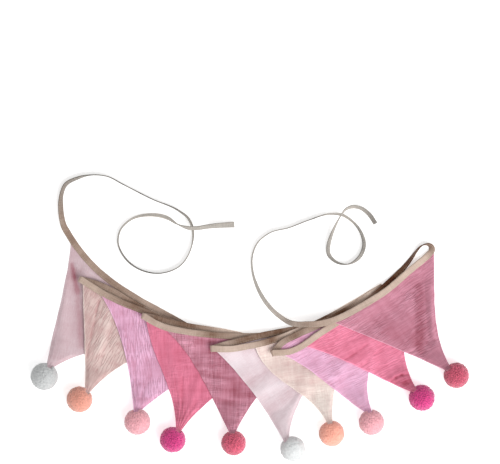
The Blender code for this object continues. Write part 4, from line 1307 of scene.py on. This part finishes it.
def linen_finish(settings):
    """Linen tape: a plain weave with thick and thin yarns, painted shade along its folded edge,
    painted light and shade along its length, a heading pinker than the ties with painted light
    reflected from the flags, and a sewn line.
    """
    finish = Finish("tape_linen", 0.85, sheen=0.15)
    slub, cross_slub = finish.streaks(60, 1500), finish.streaks(1400, 80)
    mottle = finish.noise(finish.in_object(), 55.0, 3)
    place = finish.on_cloth()
    weave = finish.weave(place, settings.linen_pitch)
    from_edge = finish.attribute("from_edge")
    light = finish.total(
        finish.scaled(slub, 0.3, 0.7, -0.10, 0.10),
        finish.scaled(cross_slub, 0.3, 0.7, -0.10, 0.10),
        finish.scaled(mottle, 0.35, 0.65, -0.07, 0.07),
        finish.scaled(weave, 0.2, 0.9, -0.10, 0.06),
        # painted shade along the folded edge
        finish.scaled(from_edge, 7.2 * MM, 8.0 * MM, 0.0, -0.12),
        finish.attribute("tone"),
    )
    along = finish.math("DIVIDE", finish.split(place)[0], settings.stitch_pitch)
    from_stitch = finish.away(finish.math("FRACT", along), 0.5)
    from_line = finish.away(from_edge, STITCH_IN)
    line = finish.scaled(from_line, 0.18 * MM, 0.42 * MM, 1.0, 0.0)
    stitch = finish.product(line, finish.scaled(from_stitch, 0.34, 0.42, 1.0, 0.0))
    tie = finish.attribute("tie")
    # The heading's linen is pinker than the ties', and its painted shade browner: painted light
    # reflected from the pink flags
    linen = finish.mix(tie, opaque(settings.linen), opaque(settings.tie_linen))
    strengths = [finish.scaled(tie, 0.0, 1.0, heading, 1.0) for heading in HEADING_TINT]
    colour = finish.tinted(linen, light, strengths)
    colour = finish.mix(finish.product(stitch, 0.35), colour, opaque(settings.thread))
    drawn_in = finish.product(finish.scaled(from_line, 0.0, 0.9 * MM, 1.0, 0.0), 0.7)
    seam = finish.math("SUBTRACT", stitch, drawn_in)
    return finish.finished(colour, (weave, 0.12 * MM), (slub, 0.10 * MM), (seam, 0.22 * MM))


def gauze_finish(name, colour, settings):
    """Crinkled gauze: an open weave with fine creases, with painted shade in its troughs and fine
    lines and painted light on its ridges, from their height, a tone with painted light and shade,
    and painted highlights on its hems.
    """
    finish = Finish(name, 0.9, sheen=0.25)
    weave = finish.weave(finish.on_cloth(), settings.gauze_pitch)
    slubs = finish.total(finish.streaks(70, 1500), finish.streaks(1500, 70))
    cross = finish.attribute("cross")
    main, crossing = (finish.valleys(finish.streaks(*way, 1)) for way in ((45, 330), (330, 45)))
    main = finish.product(main, finish.math("SUBTRACT", 1.0, cross))
    lines = finish.total(main, finish.product(crossing, cross))
    patchy = finish.scaled(finish.noise(finish.in_object(), 26.0), 0.38, 0.62, 0.3, 1.2)
    lines = finish.product(lines, finish.attribute("clear"), patchy)
    fine = finish.streaks(260, 900, 2, 0.6)
    threads = finish.scaled(finish.streaks(14, 400, 1), 0.35, 0.65, -0.11, 0.11)
    bands = finish.scaled(finish.streaks(130, 26, 1), 0.35, 0.65, -0.17, 0.15)
    from_hem = finish.attribute("from_hem")
    hem_highlight_reach = finish.scaled(from_hem, 0.7 * MM, 1.9 * MM, 1.0, 0.0)
    fold, deepest = finish.attribute("fold"), 2 * settings.trough_shade
    light = finish.total(
        # painted shade in troughs and painted light on ridges, from their height
        finish.scaled(fold, -DEEPEST_FOLD, DEEPEST_FOLD, -deepest, deepest),
        # the flag's tone and its patches of painted light and shade
        finish.attribute("tone"),
        # painted shade in the fine lines
        finish.product(finish.math("SUBTRACT", lines, 0.35), settings.line_shade),
        finish.scaled(fine, 0.3, 0.7, -0.04, 0.04),
        finish.product(finish.total(threads, bands), finish.attribute("slubby")),
        finish.scaled(slubs, 0.7, 1.3, -0.035, 0.035),
        finish.scaled(weave, 0.2, 0.9, -0.05, 0.03),
        finish.scaled(finish.away(from_hem, HEM_IN), 0.3 * MM, 1.4 * MM, 0.03, 0.0),
        # painted highlight on the hems that catch the light
        finish.product(hem_highlight_reach, finish.attribute("hem")),
    )
    bumps = (weave, 0.07 * MM), (slubs, 0.05 * MM), (fine, 0.12 * MM), (lines, 0.45 * MM)
    return finish.finished(finish.tinted(opaque(colour), light, GAUZE_TINT), *bumps)


def yarn_finish(name, colour, look):
    """Brushed yarn: fine fibres, each end a little lighter or darker, painted shade between them
    and a painted level of light for each pompom.
    """
    finish = Finish(name, 0.95, sheen=look.sheen, sheen_roughness=0.42)
    place = finish.in_object()
    fibre, curl = finish.noise(place, 900.0, 3, 0.7), finish.noise(place, 330.0, 2, 0.6)
    light = finish.total(
        finish.scaled(finish.attribute("tone"), 0.5, 1.0, -look.variety, look.variety),
        finish.scaled(fibre, 0.3, 0.7, -0.08, 0.08),
        finish.scaled(curl, 0.3, 0.7, -0.06, 0.06),
        1.0,
        # the pompom's level, partly painted light
        finish.attribute("level"),
    )
    # painted shade deep between the yarn ends
    depth = finish.scaled(finish.attribute("depth"), 0.86, 0.97, look.pit, 1.0)
    light = finish.product(light, depth)
    shaded = finish.lit(opaque(colour), light, light, light)
    return finish.finished(shaded, (fibre, 0.18 * MM), (curl, 0.28 * MM))


def srgb(code):
    """A colour in linear light from its six hexadecimal digits, by the usual screen curve."""
    channels = np.array([int(code[i : i + 2], 16) for i in (0, 2, 4)]) / 255
    bright = ((channels + 0.055) / 1.055) ** 2.4
    return tuple(np.where(channels <= 0.04045, channels / 12.92, bright))


def colour_property(name, code, description):
    limits = {"subtype": "COLOR", "size": 3, "min": 0, "max": 1}
    return FloatVectorProperty(name=name, description=description, default=srgb(code), **limits)


def number_property(name, value, description, **limits):
    return FloatProperty(name=name, description=description, min=0, default=value, **limits)


def length_property(name, value, description):
    return number_property(name, value, description, unit="LENGTH")


def share_property(name, value, description, most=1):
    return number_property(name, value, description, subtype="FACTOR", max=most)


class BuntingTape(bpy.types.PropertyGroup):
    # Linen is pinker than Tie Linen by painted light reflected from the pink flags
    linen: colour_property("Linen", "C9B2A3", "Colour of the tape along the flags")
    tie_linen: colour_property("Tie Linen", "C3BCB4", "Colour of the tape in the ties")
    thread: colour_property("Thread", "D2C5B0", "Colour of the sewn line on the tape")
    linen_pitch: length_property("Linen Pitch", 0.55 * MM, "Distance between two of its yarns")
    stitch_pitch: length_property("Stitch Pitch", 3.2 * MM, "Distance from one stitch to the next")


class BuntingFlags(bpy.types.PropertyGroup):
    pale_pink: colour_property("Pale Pink", "E4D3D8", "Colour of flags 1 and 6")
    peach: colour_property("Peach", "E7D3CC", "Colour of flags 2 and 7")
    orchid: colour_property("Orchid", "E4AECB", "Colour of flags 3 and 8")
    hot_pink: colour_property("Hot Pink", "E885A1", "Colour of flags 4 and 9")
    dusty_rose: colour_property("Dusty Rose", "C68598", "Colour of flags 5 and 10")
    gauze_pitch: length_property("Gauze Pitch", 0.7 * MM, "Distance between two yarns of the gauze")
    crinkle: share_property("Crinkle", 1, "Height of the crinkles, as a share of their own", 2)
    trough_shade: share_property("Trough Shade", 0.16, "How much darker the deepest troughs are")
    line_shade: share_property("Line Shade", 0.24, "How much darker the gauze's fine lines are")


class BuntingPompoms(bpy.types.PropertyGroup):
    pompom_white: colour_property("White", "F2F4F4", "Colour of pompoms 1 and 6")
    pompom_peach: colour_property("Peach", "FFB5A1", "Colour of pompoms 2 and 7")
    pompom_salmon: colour_property("Salmon", "FFBBC4", "Colour of pompoms 3 and 8")
    pompom_magenta: colour_property("Magenta", "F0529C", "Colour of pompoms 4 and 9")
    pompom_raspberry: colour_property("Raspberry", "EC6E89", "Colour of pompoms 5 and 10")
    yarn_count: IntProperty(
        name="Yarn Ends", description="Cut ends in each pompom", min=200, max=2000, default=1400
    )
    yarn_width: length_property("Yarn Width", 1.9 * MM, "Width of a cut end")


class BuntingStage(bpy.types.PropertyGroup):
    floor: colour_property("Floor", "F8F8F8", "Colour of the floor")
    camera_height: length_property("Camera Height", 6.0, "From the floor to the camera")
    view_width: length_property("View Width", 0.625, "Width of floor that the camera sees")
    key_power: number_property("Key Light", 76.5, "Soft light from the lower right", unit="POWER")
    fill: number_property("Fill Light", 0.54, "Strength of the even light from all around")
    floor_glow: number_property("Floor Glow", 0.45, "Light that the floor gives off")


class BUNTING_OT_tape(bpy.types.Operator):
    """Fold, lay and finish the binding tape with both ties"""

    bl_idname = "bunting.tape"
    bl_label = "Build Tape"

    def execute(self, context):
        sections, _ = layout()
        piece = tape_piece(sections)
        piece.data.materials.append(linen_finish(context.scene.bunting_tape))
        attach(piece, "root")
        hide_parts("binding_tape")
        return {"FINISHED"}


class BUNTING_OT_flags(bpy.types.Operator):
    """Lay and finish the ten gauze flags"""

    bl_idname = "bunting.flags"
    bl_label = "Build Flags"

    def execute(self, context):
        settings = context.scene.bunting_flags
        finishes = [gauze_finish(name, getattr(settings, name), settings) for name in FLAG_CLOTHS]
        _, flags = layout()
        for number, flag in flags.items():
            kind = (number - 1) % len(FLAG_CLOTHS)
            piece = flag_piece(number, flag, settings)
            piece.data.materials.append(finishes[kind])
            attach(piece, "root")
            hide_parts(f"flag_{number:02d}")
        return {"FINISHED"}


class BUNTING_OT_pompoms(bpy.types.Operator):
    """Build and finish the ten yarn pompoms"""

    bl_idname = "bunting.pompoms"
    bl_label = "Build Pompoms"

    def execute(self, context):
        settings = context.scene.bunting_pompoms
        finishes = {
            name: yarn_finish(name, getattr(settings, name), look) for name, look in YARNS.items()
        }
        for number in FLAGS:
            yarn = list(YARNS)[(number - 1) % len(YARNS)]
            piece = pompom_piece(number, settings, YARNS[yarn])
            piece.data.materials.append(finishes[yarn])
            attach(piece, "root")
            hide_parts(f"pompom_{number:02d}")
        return {"FINISHED"}


class BUNTING_OT_stage(bpy.types.Operator):
    """Put a pale floor, soft lights and the camera round the bunting"""

    bl_idname = "bunting.stage"
    bl_label = "Set Stage"

    def execute(self, context):
        scene, settings = context.scene, context.scene.bunting_stage
        mesh = bpy.data.meshes.new("floor")
        corners = np.array([(-1, -1, 0), (1, -1, 0), (1, 1, 0), (-1, 1, 0)]) * FLOOR_REACH
        mesh.from_pydata(corners.tolist(), [], [(0, 1, 2, 3)])
        paper = Finish("floor_paper", 0.95)
        grain = paper.scaled(paper.noise(paper.in_object(), 6.0), 0.3, 0.7, 0.995, 1.0)
        paper.shader.inputs["Emission Color"].default_value = WHITE
        paper.shader.inputs["Emission Strength"].default_value = settings.floor_glow
        colour = paper.lit(opaque(settings.floor), grain, grain, grain)
        mesh.materials.append(paper.finished(colour))
        finished_object(mesh)

        world = bpy.data.worlds.new("studio")
        world.use_nodes = True
        background = world.node_tree.nodes["Background"]
        background.inputs["Color"].default_value = WHITE
        background.inputs["Strength"].default_value = settings.fill
        scene.world = world
        add_light("key", KEY_PLACE, KEY_SIZE, settings.key_power)

        camera = bpy.data.cameras.new("camera")
        camera.sensor_width = 36.0
        camera.lens = camera.sensor_width * settings.camera_height / settings.view_width
        camera.clip_end = 100.0
        viewer = bpy.data.objects.new("camera", camera)
        viewer.location = (*CAMERA_OVER, settings.camera_height)
        scene.collection.objects.link(viewer)
        scene.camera = viewer
        scene.view_settings.view_transform = "Standard"
        return {"FINISHED"}


def add_light(name, place, size, power):
    """A square soft light that faces the middle of the layout."""
    light = bpy.data.lights.new(name, "AREA")
    light.size = size
    light.energy = power
    lamp = bpy.data.objects.new(name, light)
    lamp.location = place
    toward = Vector(KEY_TARGET) - Vector(place)
    lamp.rotation_euler = toward.to_track_quat("-Z", "Y").to_euler()
    lamp.visible_camera = False
    bpy.context.scene.collection.objects.link(lamp)


class BUNTING_PT_panel(bpy.types.Panel):
    """Colours, sizes and the steps that build the bunting"""

    bl_idname = "BUNTING_PT_panel"
    bl_label = "Bunting"
    bl_space_type = "VIEW_3D"
    bl_region_type = "UI"
    bl_category = "Bunting"

    def draw(self, context):
        for name, group in PROPERTY_GROUPS.items():
            box = self.layout.box()
            for key in group.__annotations__:
                box.prop(getattr(context.scene, name), key)
        for operator in OPERATORS:
            self.layout.operator(operator.bl_idname)


PROPERTY_GROUPS = {
    "bunting_tape": BuntingTape,
    "bunting_flags": BuntingFlags,
    "bunting_pompoms": BuntingPompoms,
    "bunting_stage": BuntingStage,
}
OPERATORS = (BUNTING_OT_tape, BUNTING_OT_flags, BUNTING_OT_pompoms, BUNTING_OT_stage)
CLASSES = (*PROPERTY_GROUPS.values(), *OPERATORS, BUNTING_PT_panel)


def register():
    for cls in CLASSES:
        bpy.utils.register_class(cls)
    for name, group in PROPERTY_GROUPS.items():
        setattr(bpy.types.Scene, name, PointerProperty(type=group))


def unregister():
    for name in PROPERTY_GROUPS:
        delattr(bpy.types.Scene, name)
    for cls in reversed(CLASSES):
        bpy.utils.unregister_class(cls)


def main():
    register()
    bpy.ops.bunting.tape()
    bpy.ops.bunting.flags()
    bpy.ops.bunting.pompoms()
    bpy.ops.bunting.stage()
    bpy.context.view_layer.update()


if __name__ == "__main__":
    main()
